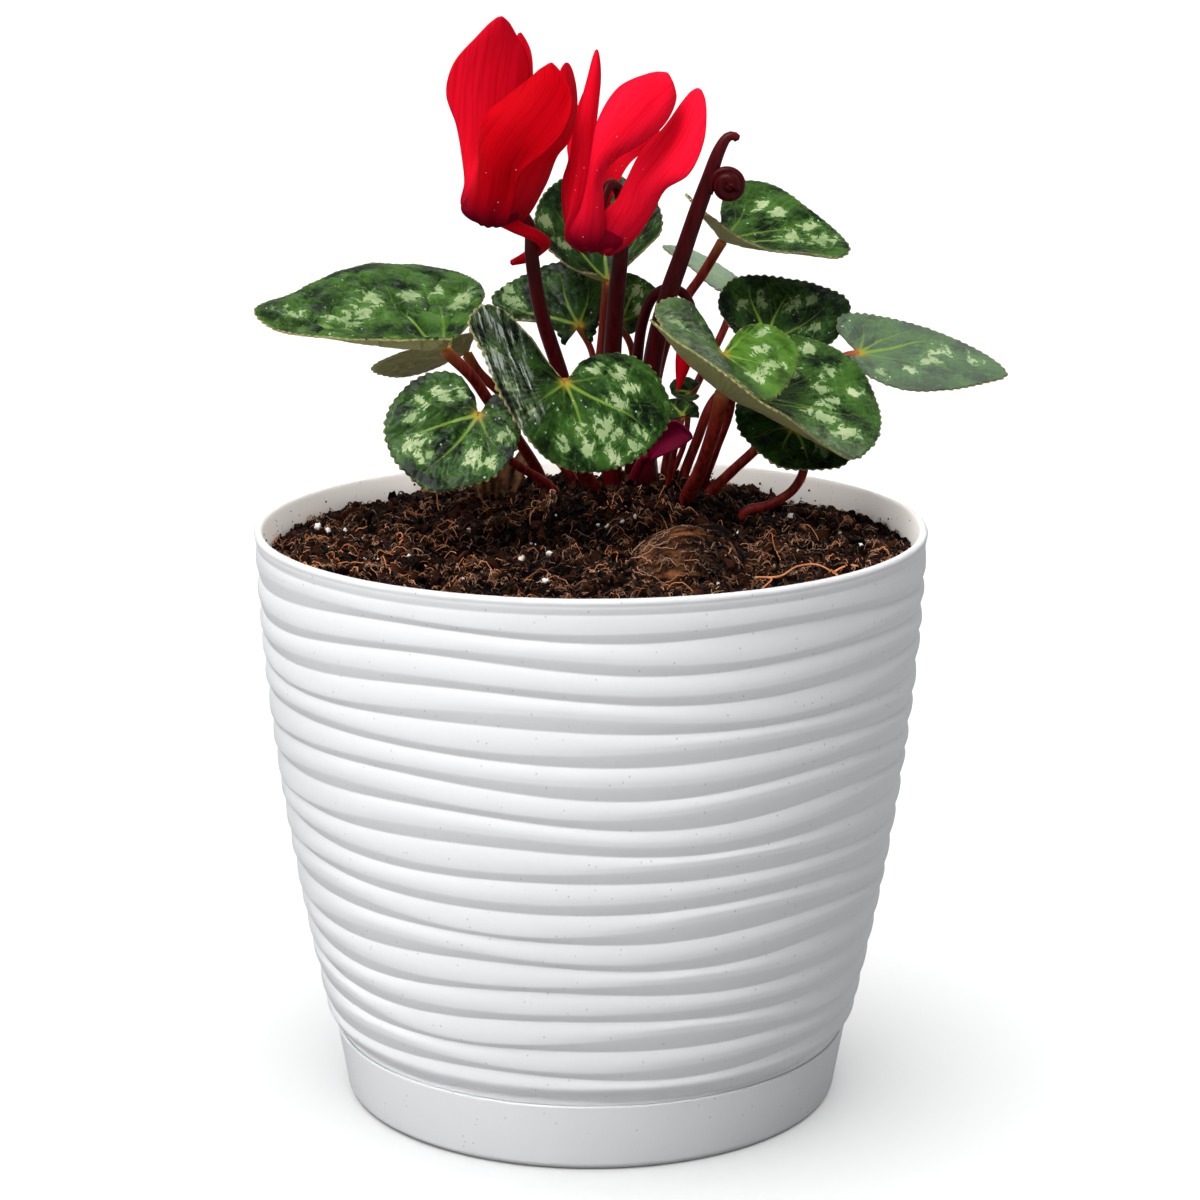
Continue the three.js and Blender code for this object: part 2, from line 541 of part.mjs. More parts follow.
const petioleRoute = ({ at, stalk }) => [at, ...stalk.via, ...inGround(stalk.foot)];
const scapeRoute = ({ runs, foot }) => [...runs[0].points.toReversed(), ...inGround(foot)];
const youngLeafRoute = () => [...YOUNG_LEAF.line.slice(0, 2).toReversed(), ...inGround(YOUNG_LEAF.foot)];

function deeper(route) {
  const [x, y, z] = route.at(-1);
  return [...route.slice(0, -1), [x, y, z - GAP]];
}

// The stalk stops just under the blade: the blade, made thicker, and all that lies above it are cut away.
function petioleSolid(leaf) {
  const whole = toSolid(tube(petioleRoute(leaf), leaf.stalk.radius));
  const { origin, forward, left, up } = leafFrame(leaf);
  const above = new THREE.BoxGeometry(...CUT_BLOCK);
  above.translate(0, 0, CUT_BLOCK[2] / 2 - BLADE_THICKNESS / 2 - GAP);
  above.applyMatrix4(new THREE.Matrix4().makeBasis(forward, left, up).setPosition(origin));
  const thickBlade = toSolid(bladeGeometry(leaf, BLADE_THICKNESS + 2 * GAP));
  return largestPiece(whole.subtract(toSolid(above)).subtract(thickBlade));
}

// ---------------------------------------------------------------- blooms, stalks and buds

function petalSheet({ line, half, face, curl }, rows = 8, columns = 3) {
  const middle = new THREE.CatmullRomCurve3(line.map(vec));
  const widths = new THREE.CatmullRomCurve3(half.map((width, i) => new THREE.Vector3(width, i, 0)));
  const points = [];
  for (let row = 0; row <= rows; row += 1) {
    const share = row / rows;
    const centre = middle.getPoint(share);
    const along = middle.getTangent(share);
    const side = new THREE.Vector3().crossVectors(vec(face), along).normalize();
    const outward = new THREE.Vector3().crossVectors(along, side);
    const width = Math.max(0.6, widths.getPoint(share).x);
    for (let column = 0; column <= columns; column += 1) {
      const across = (column / columns) * 2 - 1;
      points.push(centre.clone()
        .addScaledVector(side, across * width)
        .addScaledVector(outward, curl * width * (across * across - 0.4)));
    }
  }
  const at = (row, column) => row * (columns + 1) + column;
  const triangles = [];
  for (let row = 0; row < rows; row += 1) {
    for (let column = 0; column < columns; column += 1) {
      triangles.push([at(row, column), at(row, column + 1), at(row + 1, column + 1)]);
      triangles.push([at(row, column), at(row + 1, column + 1), at(row + 1, column)]);
    }
  }
  return { points, triangles };
}

function petalSolid(petal) {
  const { points, triangles } = petalSheet(petal);
  return toSolid(thickSheet(points, triangles, PETAL_THICKNESS));
}

function bloomSolid({ nose, noseSize, petals }) {
  return fuse([toSolid(ellipsoid(nose, noseSize)), ...petals.map(petalSolid)]);
}

function scapeSolid(scape) {
  const [lower, ...upper] = scape.runs;
  return fuse([
    toSolid(tube(scapeRoute(scape), lower.radius)),
    ...upper.map(({ points, radius }) => toSolid(tube(points, radius))),
  ]);
}

function coilSolid() {
  const { centre, loopRadius, tubeRadius, turns, ball, bulge } = COIL;
  const loop = turns.map((angle) => [
    centre[0] + loopRadius * Math.cos(rad(angle)), centre[1], centre[2] + loopRadius * Math.sin(rad(angle))]);
  const stem = [centre[0] - loopRadius - 1, centre[1], centre[2] + 1];
  const beside = centre.map((value, i) => value + bulge.shift[i]);
  return fuse([
    toSolid(tube([stem, ...loop], tubeRadius, 6, 2.5)),
    toSolid(ellipsoid(centre, ball, 8, 6)),
    toSolid(ellipsoid(beside, bulge.size, 8, 5)),
  ]);
}

function budSolid() {
  const { top, tip, radius } = BUD;
  const from = vec(top);
  const to = vec(tip);
  const length = from.distanceTo(to) / 2;
  const bud = new THREE.SphereGeometry(1, 8, 7);
  bud.scale(radius, length, radius);
  bud.applyQuaternion(new THREE.Quaternion().setFromUnitVectors(
    new THREE.Vector3(0, 1, 0), from.clone().sub(to).normalize()));
  const middle = from.clone().add(to).multiplyScalar(0.5);
  bud.translate(...middle.toArray());
  return toSolid(bud);
}

function youngLeafSolid() {
  return petalSolid(YOUNG_LEAF).add(toSolid(tube(youngLeafRoute(), YOUNG_LEAF.radius)));
}

// ---------------------------------------------------------------- assembly

function named(name, geometry, colour, roughness) {
  const material = new THREE.MeshStandardMaterial({ color: colour, roughness, metalness: 0 });
  const mesh = new THREE.Mesh(bareGeometry(geometry), material);
  mesh.name = name;
  return mesh;
}

const plant = new THREE.Group();
plant.add(named('pot', potGeometry(), COLOURS.pot, 0.45));
plant.add(named('tray', trayGeometry(), COLOURS.tray, 0.4));

const stalks = [];
LEAVES.forEach((leaf) => {
  plant.add(named(leaf.name, bladeGeometry(leaf), COLOURS.leaf, 0.35));
  const petiole = petioleSolid(leaf);
  stalks.push({ name: leaf.name.replace('leaf', 'petiole'), solid: petiole, colour: COLOURS.petiole });
});
SCAPES.forEach((scape) => {
  const solid = scapeSolid(scape);
  const whole = scape.name === 'bare_stalk' ? solid.add(coilSolid()) : solid;
  stalks.push({ name: scape.name, solid: whole, colour: COLOURS.scape });
});
stalks.push({ name: 'young_leaf', solid: youngLeafSolid(), colour: COLOURS.crimson });
stalks.forEach(({ name, solid, colour }) => plant.add(named(name, toGeometry(solid), colour, 0.45)));

BLOOMS.forEach((bloom) => {
  plant.add(named(bloom.name, toGeometry(bloomSolid(bloom)), COLOURS.petal, 0.5));
});
plant.add(named('bud', toGeometry(budSolid()), COLOURS.crimson, 0.5));

// Each stalk stands in a plain hole that follows it and is a little wider.
const routes = [
  ...LEAVES.map((leaf) => ({ route: petioleRoute(leaf), radius: leaf.stalk.radius })),
  ...SCAPES.map((scape) => ({ route: scapeRoute(scape), radius: scape.runs[0].radius })),
  { route: youngLeafRoute(), radius: YOUNG_LEAF.radius },
];
const holes = routes.map(({ route, radius }) => toSolid(tube(deeper(route), radius + HOLE_CLEARANCE)));
const barkBed = ellipsoid(BARK.at, BARK.size.map((radius) => radius + GAP));
const cuts = fuse([toSolid(tuberGeometry(GAP)), toSolid(barkBed), ...holes]);
const soil = largestPiece(toSolid(soilGeometry()).subtract(cuts));
plant.add(named('soil', toGeometry(soil), COLOURS.soil, 0.95));
plant.add(named('tuber', tuberGeometry(), COLOURS.tuber, 0.9));
plant.add(named('bark_chip', ellipsoid(BARK.at, BARK.size), COLOURS.bark, 0.9));

export default plant;
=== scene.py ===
import math

import bpy
import numpy as np
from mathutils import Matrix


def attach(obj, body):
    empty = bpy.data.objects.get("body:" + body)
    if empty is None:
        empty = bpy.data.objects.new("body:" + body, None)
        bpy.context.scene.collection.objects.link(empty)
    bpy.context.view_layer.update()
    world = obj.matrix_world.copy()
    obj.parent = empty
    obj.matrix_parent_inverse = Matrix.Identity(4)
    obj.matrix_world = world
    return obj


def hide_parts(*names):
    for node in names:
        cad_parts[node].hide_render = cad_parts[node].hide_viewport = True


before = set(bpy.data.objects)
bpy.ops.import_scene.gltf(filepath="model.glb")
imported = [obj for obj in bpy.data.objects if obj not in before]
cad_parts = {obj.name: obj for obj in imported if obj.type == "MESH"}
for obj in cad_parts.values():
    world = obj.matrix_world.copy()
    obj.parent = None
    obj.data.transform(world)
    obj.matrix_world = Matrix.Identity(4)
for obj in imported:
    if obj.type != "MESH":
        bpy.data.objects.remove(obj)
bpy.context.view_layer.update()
MM = 0.001                    # every length below is in millimetres

# ---------------------------------------------------------------- driving dimensions

RIM_RADIUS = 80
POT_TOP = 140
WALL = 2.4
FOOT_TAPER = 16.5
TAPER_POWER = 1.75
TRAY_TOP = 15
TRAY_TOP_RADIUS = 61.7
TRAY_FOOT_RADIUS = 59.8
SOIL_EDGE = 135.2
SOIL_RISE = 9.2
CROWN = (8, 26)
HEAP_RADIUS = 48

RIB_COUNT = 17
RIB_PITCH = 6.98
RIB_TOP_LINE = 138.0          # each rib's line is one pitch lower than the last, counted from here
RIB_DEPTH = 0.9
RIB_LEAST = 0.7               # a crest and the valley under it keep at least this distance
RIB_BOTTOM = TRAY_TOP + 1.6
LIP_FOOT = 138.4
SAUCER_LIP = TRAY_TOP + 1.7
FOOT_TUCK = 1.9               # how far the pot's wall turns in where it enters the saucer
LIP_GROOVE = 136.4
LINING = 0.08                 # the inner wall's own skin
# Profiles as (radius, height): the pot's foot, the way over its lip, and the lip's skin.
POT_FOOT = [(57, 2.3), (57.6, 2.4), (59.3, TRAY_TOP + 0.6), (60.4, TRAY_TOP + 1.4)]
POT_LIP = [(79.92, 138.7), (80.0, 139.1), (79.85, 139.5), (79.5, 139.85), (79.0, 140.0), (78.55, 139.88),
           (78.2, 139.5), (78.0, 138.9), (77.5, 137.2), (77.0, 135.2), (76.6, 132)]
LIP_SKIN = [(78.95, 140.04), (78.5, 139.92), (78.1, 139.5), (77.88, 138.8), (77.4, 137.2), (76.9, 135.2),
            (76.5, 132)]
# A rib's crest and its valley: how far above its line, and the waves that they make round the pot
# as (height, number round the pot, turn from rib to rib, start).
CREST = (2.04, [(0.80, 1, -0.3, -1.67), (0.74, 4, 0.3, 2.07), (0.78, 4, -1.3, 0.77), (0.70, 4, -3.0, 1.76)])
VALLEY = (-1.36, [(0.96, 1, 0.2, 3.04), (0.60, 3, 0.4, 0.35), (0.66, 4, -1.3, 0.02), (0.60, 5, -0.1, -0.58)])

TOOTH_PITCH = 2.0
TOOTH_STEPS = (0.0, 0.35, 0.8, 1.0, 0.7, 0.2)
TOOTH_HEIGHT = 0.55
BLADE_THICKNESS = 0.6
BLADE_RINGS = 40
# Where each side vein leaves its main vein, as a share of the leaf's reach, and to which side.
SIDE_VEINS = ((0.25, 1), (0.33, -1), (0.46, 1), (0.55, -1), (0.68, 1), (0.76, -1))
STROKE_TURN = math.radians(20)
PETAL_THICKNESS = 0.5
PETAL_TIP = 0.94              # share of a petal's length where it starts to round off
BARK_THICKNESS = 0.9
FIBRE_STEPS = 14
FIBRE_SIDES = 4
STRANDS = 150                 # on the tuber
FLOOR_REACH = 14              # in metres, as the floor isn't part of the piece

# A leaf: where its stalk meets it, heading, pitch and roll in degrees, its outline as
# (angle from the midrib, length, lift), its main veins' angles, its pale patches as
# (angle, share of the way to the edge, radius), and its stalk. Its tint runs from dark (0) to light (1),
# and is partly painted shade, as the darkest are leaves that sit in shade.
# Some have a painted yellow-green highlight between two angles, or folded stretches that carry a painted
# grey reflection (first and last angle, share where they start, height). Some have an overall painted
# grey reflection, and one has painted dark and bright strokes on its folded stretch.
LEAVES = {
    "leaf_1": dict(
        at=(-34, -8, 183), heading=162, pitch=-1, roll=-11,
        edge=[(140, 5, 4), (69, 8, 5), (41, 18, 6), (20, 31, 6), (8, 41, 6), (0, 47, 8), (-20, 45, 8),
              (-40, 45, 9), (-56, 44, 8), (-73, 40, 6), (-84, 32, 6), (-98, 21, 6), (-121, 8, 4)],
        veins=(-4, -38, -67, -92, 30, 62), tint=0.7, pale=0.8, pucker=1.2, blisters=(1.1, 6.5), dew=0.07,
        patches=[(-34, 0.66, 5), (-21, 0.55, 5), (-9, 0.6, 6), (-53, 0.6, 5), (-66, 0.7, 4), (-82, 0.65, 6),
                 (-2, 0.82, 5)],
        stalk=dict(radius=1.4, via=[(-28, -5, 176), (-24, 0, 169), (-18, 9, 159)], foot=(-12, 25, 144))),
    "leaf_2": dict(
        at=(-30, 18, 178), heading=-178, pitch=-14, roll=25,
        edge=[(134, 4, 2), (112, 8, 2), (88, 7, 2), (52, 9, 1), (21, 16, 2), (0, 23, 2), (-20, 21, 1),
              (-39, 18, 1), (-53, 11, 1), (-73, 3, 1)],
        veins=(0, 35, -30), tint=0.3, pale=0.3, grey=0.5, patches=[(0, 0.6, 4)],
        stalk=dict(radius=1.2, via=[(-27, 18, 173), (-22, 19, 168), (-15, 21, 159)], foot=(-4, 30, 143))),
    "leaf_3": dict(
        at=(-26, -18, 169), heading=-140, pitch=-48, roll=-42,
        edge=[(-137, 5, -1), (-122, 11, 0), (-102, 15, 0), (-81, 18, 0), (-57, 21, 1), (-39, 22, 1),
              (-22, 22, 2), (1, 22, 3), (19, 19, 3), (45, 16, 3), (70, 13, 3), (107, 10, 2), (148, 8, 1),
              (175, 6, 0)],
        veins=(-45, 0, 55, 113, -78, -108), tint=0.3, dew=0.07,
        patches=[(-91, 0.62, 3.2), (-72, 0.72, 2.6), (-56, 0.72, 3.2), (-31, 0.73, 4), (27, 0.6, 4.6),
                 (78, 0.68, 3), (-112, 0.5, 2.2), (-16, 0.72, 2.4), (45, 0.75, 3)],
        stalk=dict(radius=1.1, via=[(-25, -6, 161), (-18, 10, 152)], foot=(-9, 20, 143))),
    "leaf_4": dict(
        at=(-6, -20, 177), heading=-78, pitch=-60, roll=5,
        edge=[(-136, 11, 9), (-133, 20, 14), (-127, 23, 16), (-113, 24, 18), (-97, 20, 18), (-70, 18, 16),
              (-38, 19, 11), (-16, 21, 5), (4, 22, 1), (23, 23, -1), (40, 24, -2), (60, 25, -3), (74, 25, -3),
              (95, 21, -2), (109, 17, -1), (126, 11, -1), (138, 6, 0)],
        veins=(54, 17, -50, 92, -88, -10, -122), tint=0.34, dew=0.05,
        folds_and_painted_sheen=(-148, -30, 0.36, 0.35), painted_strokes=1.0,
        patches=[(110, 0.45, 2.5), (96, 0.62, 3), (83, 0.65, 2.6), (66, 0.52, 3.6), (37, 0.6, 4.6),
                 (10, 0.55, 3), (-8, 0.73, 3), (13, 0.73, 3.2), (26, 0.86, 3.4), (41, 0.88, 3.4),
                 (52, 0.84, 2.6), (-100, 0.88, 3.4), (-72, 0.78, 3.4), (-48, 0.75, 3)],
        stalk=dict(radius=1.4, via=[(-4, -6, 166), (-3, 8, 153)], foot=(1, 18, 144))),
    "leaf_5": dict(
        at=(-3, 40, 181), heading=112, pitch=48, roll=-17,
        edge=[(-163, 5, -1), (-90, 5, 0), (-56, 11, 0), (-28, 17, 0), (0, 19, 0), (26, 21, -2), (45, 23, -2),
              (55, 23, -1), (64, 18, -2), (70, 11, 1), (84, 6, 0), (131, 6, -1)],
        veins=(52, 10, -30), tint=0.16, pale=0.7, patches=[(50, 0.8, 4), (42, 0.92, 3)],
        stalk=dict(radius=0.8, via=[(0, 41, 175), (2, 38, 163), (5, 36, 153)], foot=(7.5, 35, 143))),
    "leaf_6": dict(
        at=(4, 34, 193), heading=96, pitch=50, roll=-5,
        edge=[(118, 3, 6), (87, 8, 6), (71, 13, 7), (56, 20, 7), (37, 25, 7), (19, 28, 6), (0, 28, 5),
              (-21, 26, 5), (-38, 22, 6), (-54, 17, 6), (-66, 10, 7), (-80, 5, 6)],
        veins=(0, 40, -40, 66), tint=0.08, pale=0.5, patches=[(44, 0.86, 3), (50, 0.62, 3), (-32, 0.7, 3)],
        stalk=dict(radius=1.2, via=[(3, 34, 181), (2, 34, 169), (3, 33, 154)], foot=(4, 30, 143))),
    "leaf_7": dict(
        at=(7, 46, 181), heading=42, pitch=43, roll=38,
        edge=[(59, 6, 1), (42, 11, 3), (24, 13, 2), (-2, 13, 1), (-21, 12, 2), (-33, 8, 1), (-81, 5, 0),
              (-114, 4, 0)],
        veins=(5, 35, -35), tint=0.4, patches=[(4, 0.7, 3.4), (-30, 0.7, 2.5)],
        stalk=dict(radius=0.9, via=[(10, 46, 175), (11, 43, 162), (11, 40, 152)], foot=(12, 38, 142))),
    "leaf_8": dict(
        at=(32, 28, 204), heading=7, pitch=-18, roll=21,
        edge=[(-206, 13, 6), (-178, 8, 6), (-111, 6, 6), (-58, 9, 5), (-39, 13, 5), (-21, 19, 6), (-5, 28, 6),
              (3, 30, 7), (19, 28, 7), (38, 24, 8), (61, 24, 8), (80, 21, 7), (90, 17, 5), (96, 10, 2)],
        veins=(8, 32, 68, -20), tint=0.55, pale=0.9,
        patches=[(59, 0.7, 3), (42, 0.72, 3.4), (16, 0.62, 4.4), (9, 0.83, 4.4), (24, 0.84, 3)],
        stalk=dict(radius=1.2, via=[(27, 30, 195), (23, 30, 189), (18, 30, 177), (15, 30, 159)],
                   foot=(15.5, 30, 143))),
    "leaf_9": dict(
        at=(36, 50, 189), heading=157, pitch=19, roll=-13,
        edge=[(90, 4, 0), (45, 7, 1), (20, 12, 3), (0, 21, 3), (-19, 17, 2), (-40, 10, 1), (-80, 5, 0)],
        veins=(0, 25, -25), tint=0.75, pale=0.3, grey=0.7, patches=[(0, 0.6, 3)],
        stalk=dict(radius=1.0, via=[(34, 48, 181), (27, 44, 167), (20, 38, 153)], foot=(18, 36, 142))),
    "leaf_10": dict(
        at=(43, 26, 179), heading=71, pitch=43, roll=13,
        edge=[(105, 6, 1), (74, 12, 2), (61, 16, 2), (42, 19, 2), (25, 20, 1), (3, 20, 0), (-20, 22, -1),
              (-44, 24, -1), (-65, 18, -1), (-84, 13, 0), (-112, 7, 0)],
        veins=(26, 2, -44, 62, -78), tint=0.04, pale=0.5,
        patches=[(44, 0.62, 2.8), (20, 0.6, 3), (-15, 0.6, 3.6), (-27, 0.76, 2.4), (-57, 0.58, 3)],
        stalk=dict(radius=1.2, via=[(38, 27, 172), (30, 25, 165), (26, 26, 155)], foot=(22, 29, 142))),
    "leaf_11": dict(
        at=(65, 22, 177), heading=0, pitch=-10, roll=35,
        edge=[(-129, 4, 0), (-68, 8, 0), (-40, 15, 0), (-21, 23, 1), (-8, 30, 1), (1, 36, 1), (14, 31, 0),
              (31, 23, 0), (54, 17, 0), (81, 13, 1), (119, 11, 2), (138, 8, 1)],
        veins=(22, 50, 84, -4, -34, 120), tint=0.45, grey=0.25,
        patches=[(13, 0.64, 4), (3, 0.48, 3.6), (-14, 0.5, 3), (-45, 0.6, 2.2), (7, 0.82, 2.5)],
        stalk=dict(radius=1.3, foot=(28, 21, 141),
                   via=[(62, 23, 176), (54, 22, 171), (47, 20, 162), (40, 19, 154), (34, 20, 148)])),
    "leaf_12": dict(
        at=(31, -4, 181), heading=-111, pitch=-8, roll=-34,
        edge=[(-112, 9, 2), (-104, 14, 4), (-93, 18, 3), (-77, 19, 1), (-56, 17, 1), (-34, 15, 2),
              (-6, 15, 3), (20, 17, 4), (50, 20, 3), (76, 17, 4), (104, 16, 6), (129, 16, 8), (147, 14, 8),
              (167, 12, 7), (182, 9, 5), (189, 4, 2)],
        veins=(168, 108, 72, 40, -70, -95), tint=0.55, glow=(50, 200), folds_and_painted_sheen=(-112, 30, 0.1, 0.0),
        patches=[(132, 0.55, 3), (65, 0.56, 3.4), (104, 0.7, 3.2), (158, 0.82, 2.4), (-74, 0.65, 3.4),
                 (84, 0.62, 2.6)],
        stalk=dict(radius=1.1, via=[(33, 1, 173), (33, 5, 166), (30, 12, 155)], foot=(27.5, 26.5, 142))),
    "leaf_13": dict(
        at=(31, -8, 173), heading=14, pitch=-25, roll=24,
        edge=[(-186, 24, 8), (-164, 20, 9.8), (-140, 17, 11), (-111, 17, 11.5), (-84, 18, 10), (-59, 21, 9),
              (-38, 26, 6), (-19, 34, 3), (-4, 38, 6), (9, 39, 8), (24, 39, 10), (34, 37, 11), (46, 34, 10),
              (56, 29, 9), (68, 22, 7)],
        veins=(2, 13, 28, 46, -16, -60, -120, -170), tint=0.55, folds_and_painted_sheen=(-60, 2, 0.3, 0.2), dew=0.04,
        patches=[(31, 0.8, 3.4), (22, 0.66, 3.2), (13, 0.68, 3.6), (19, 0.86, 3), (2, 0.62, 4.6),
                 (-6, 0.8, 4.4), (46, 0.88, 3), (52, 0.66, 2.6), (38, 0.6, 3)],
        stalk=dict(radius=1.7, via=[(29, -3, 163), (26, 6, 151)], foot=(23, 14, 142))),
    "leaf_14": dict(
        at=(48, 4, 162), heading=-134, pitch=-36, roll=-29,
        edge=[(148, 7, 0), (111, 14, 0), (85, 16, 0), (51, 13, 1), (18, 12, 1), (-22, 11, 1), (-56, 13, 1),
              (-79, 14, 2), (-102, 9, 1)],
        veins=(100, 60, 10, -50, -85), tint=0.0, pale=0.3, patches=[(80, 0.6, 3)],
        stalk=dict(radius=1.15, via=[(51, 9, 155), (51, 10, 150), (48.5, 10.5, 145.5), (43, 10.5, 142)],
                   foot=(37, 10.5, 140))),
    "small_leaf_1": dict(
        at=(24, 24, 167), heading=174, pitch=5, roll=-40,
        edge=[(-126, 4, 0), (-72, 5, 0), (-17, 5, 1), (31, 4, 1), (99, 3, 1), (150, 3, 1)],
        veins=(0, 60), tint=0.3, pale=0.3, patches=[],
        stalk=dict(radius=0.7, via=[(23, 25, 155)], foot=(19, 26.5, 143))),
    "small_leaf_2": dict(
        at=(22, 14, 163), heading=142, pitch=36, roll=-37,
        edge=[(-134, 4, 0), (-82, 5, -1), (-48, 5, -1), (-8, 6, -1), (29, 5, 0), (80, 4, 1)],
        veins=(-10, -60), tint=0.2, pale=0.3, patches=[],
        stalk=dict(radius=0.7, via=[(20, 18, 152)], foot=(18.5, 20, 143))),
}

# A petal: its left and right edges from the nose to the tip, how far its middle stands out toward
# its face, and how far each edge curls the other way. Some have a tone that sets how bright their
# red is, partly their own variation and partly painted light and shade.
BLOOMS = {
    "bloom_1": dict(
        nose=(-23.6, 0, 214.2), size=(7.4, 5.4, 3.5), tilt=9,
        petals=[
            dict(left=[(-30.0, 0, 215.5), (-29.2, 3, 220.5), (-29.7, 6, 225.8), (-31.1, 8, 233.3),
                       (-33.4, 9, 240.6), (-31.7, 9, 247.3), (-26.3, 8, 253.6), (-22.0, 7, 258.3)],
                 right=[(-24.2, 0, 215.0), (-23.2, 5, 219.6), (-21.4, 10, 225.4), (-18.4, 12, 232.9),
                        (-15.3, 12, 240.4), (-15.0, 11, 247.7), (-17.7, 9, 254.2), (-19.9, 7, 258.5)],
                 bulge=1.6, curl=(0.6, 0.2)),
            dict(left=[(-24.1, 4, 215.0), (-23.3, 9, 219.9), (-22.0, 14, 225.7), (-20.4, 17, 233.7),
                       (-19.1, 17, 241.9), (-18.6, 16, 250.1), (-17.1, 15, 254.3)],
                 right=[(-20.1, 4, 215.0), (-18.4, 9, 219.9), (-16.1, 13, 225.8), (-14.2, 15, 233.8),
                        (-13.9, 15, 242.0), (-14.3, 15, 249.7), (-16.2, 15, 254.1)],
                 bulge=0.8, curl=(0, 0.4)),
            dict(left=[(-28.8, -3, 214.4), (-27.0, -6, 219.6), (-25.9, -9, 225.0), (-25.6, -11, 230.9),
                       (-23.7, -12, 237.3), (-19.6, -10, 240.8), (-13.9, -8, 245.1), (-10.3, -5, 248.5)],
                 right=[(-19.2, -5, 212.8), (-18.0, -7, 217.4), (-17.2, -9, 221.8), (-15.3, -11, 225.6),
                        (-10.3, -12, 229.4), (-5.9, -10, 234.6), (-4.8, -7, 241.4), (-7.8, -5, 248.5)],
                 bulge=2.0, curl=(1.2, -1.4), tone=0.05),
            dict(left=[(-21.1, -5, 213.5), (-17.8, -6, 219.2), (-15.4, -6, 224.7), (-11.8, -4, 229.8),
                       (-8.8, 0, 236.3), (-7.7, 3, 242.9), (-6.7, 5, 247.8)],
                 right=[(-16.2, 3, 211.6), (-11.1, 8, 219.0), (-8.2, 9, 226.0), (-5.6, 9, 229.2),
                        (-3.7, 9, 235.5), (-3.7, 8, 241.9), (-4.9, 7, 247.9)],
                 bulge=1.0, curl=(0, 0)),
        ]),
    "bloom_2": dict(
        nose=(1.2, 0, 208.2), size=(6.6, 5, 3.6), tilt=12,
        petals=[
            dict(left=[(-5.1, -2, 209.2), (-5.6, -1, 215.6), (-4.9, 0, 222.4), (-4.4, 1, 228.1),
                       (-3.7, 2, 233.1), (-2.3, 3, 238.3), (-0.5, 3, 245.2), (0.9, 3, 250.9)],
                 right=[(-4.2, -3, 208.6), (-2.3, -2, 215.0), (-0.7, -1, 220.9), (0.2, 0, 226.6),
                        (0.9, 1, 232.7), (1.6, 2, 238.4), (2.1, 3, 245.2), (1.7, 3, 251.2)],
                 bulge=2.2, curl=(0, 0)),
            dict(left=[(-5.1, 0, 208.7), (-6.6, 4, 215.0), (-6.5, 8, 220.5), (-5.2, 11, 224.8),
                       (-5.4, 13, 227.9), (-4.2, 14, 232.1), (-3.1, 15, 236.7), (-1.4, 15, 241.3)],
                 right=[(-2.6, 0, 208.7), (-1.4, 5, 214.9), (-0.7, 8, 220.5), (-0.2, 11, 226.0),
                        (0.2, 13, 231.7), (0.5, 14, 235.1), (0.2, 15, 238.5), (-0.7, 15, 241.6)],
                 bulge=0.8, curl=(0, 0)),
            dict(left=[(-4.9, -4, 209.0), (-2.3, -6, 215.2), (-0.7, -8, 222.1), (0.5, -10, 230.3),
                       (2.1, -10, 236.5), (6.6, -8, 243.1), (13.1, -5, 246.0), (16.8, -3, 246.6)],
                 right=[(2.8, -5, 208.4), (2.5, -7, 215.6), (2.3, -9, 222.2), (5.0, -11, 227.0),
                        (11.2, -11, 230.9), (16.9, -9, 235.7), (19.5, -6, 241.3), (18.4, -3, 245.4)],
                 bulge=1.8, curl=(0.6, 1.6), tone=0.9),
            dict(left=[(0.7, 3, 210.5), (1.4, 8, 215.8), (2.4, 12, 220.5), (4.7, 15, 224.9),
                       (9.2, 16, 228.6), (12.8, 16, 231.2), (15.4, 15, 232.9)],
                 right=[(3.5, 2, 210.6), (4.5, 6, 215.5), (6.4, 10, 219.8), (8.7, 13, 223.5),
                        (11.8, 15, 226.3), (14.7, 15, 228.9), (16.5, 15, 231.5)],
                 bulge=0.8, curl=(0, 0)),
            dict(left=[(2.1, -3, 207.0), (3.5, -3, 214.1), (6.0, -2, 216.5), (8.0, -1, 220.7),
                       (11.6, 0, 227.6), (17.2, 1, 233.6), (21.0, 1, 238.9), (24.0, 1, 242.6)],
                 right=[(4.9, 0, 204.0), (10.1, 2, 207.3), (13.8, 0, 212.9), (17.0, -4, 219.6),
                        (22.2, -6, 223.5), (25.6, -5, 230.5), (26.4, -3, 237.0), (26.0, 0, 241.9)],
                 bulge=1.6, curl=(0.4, 0.4), tone=1.0),
        ]),
}

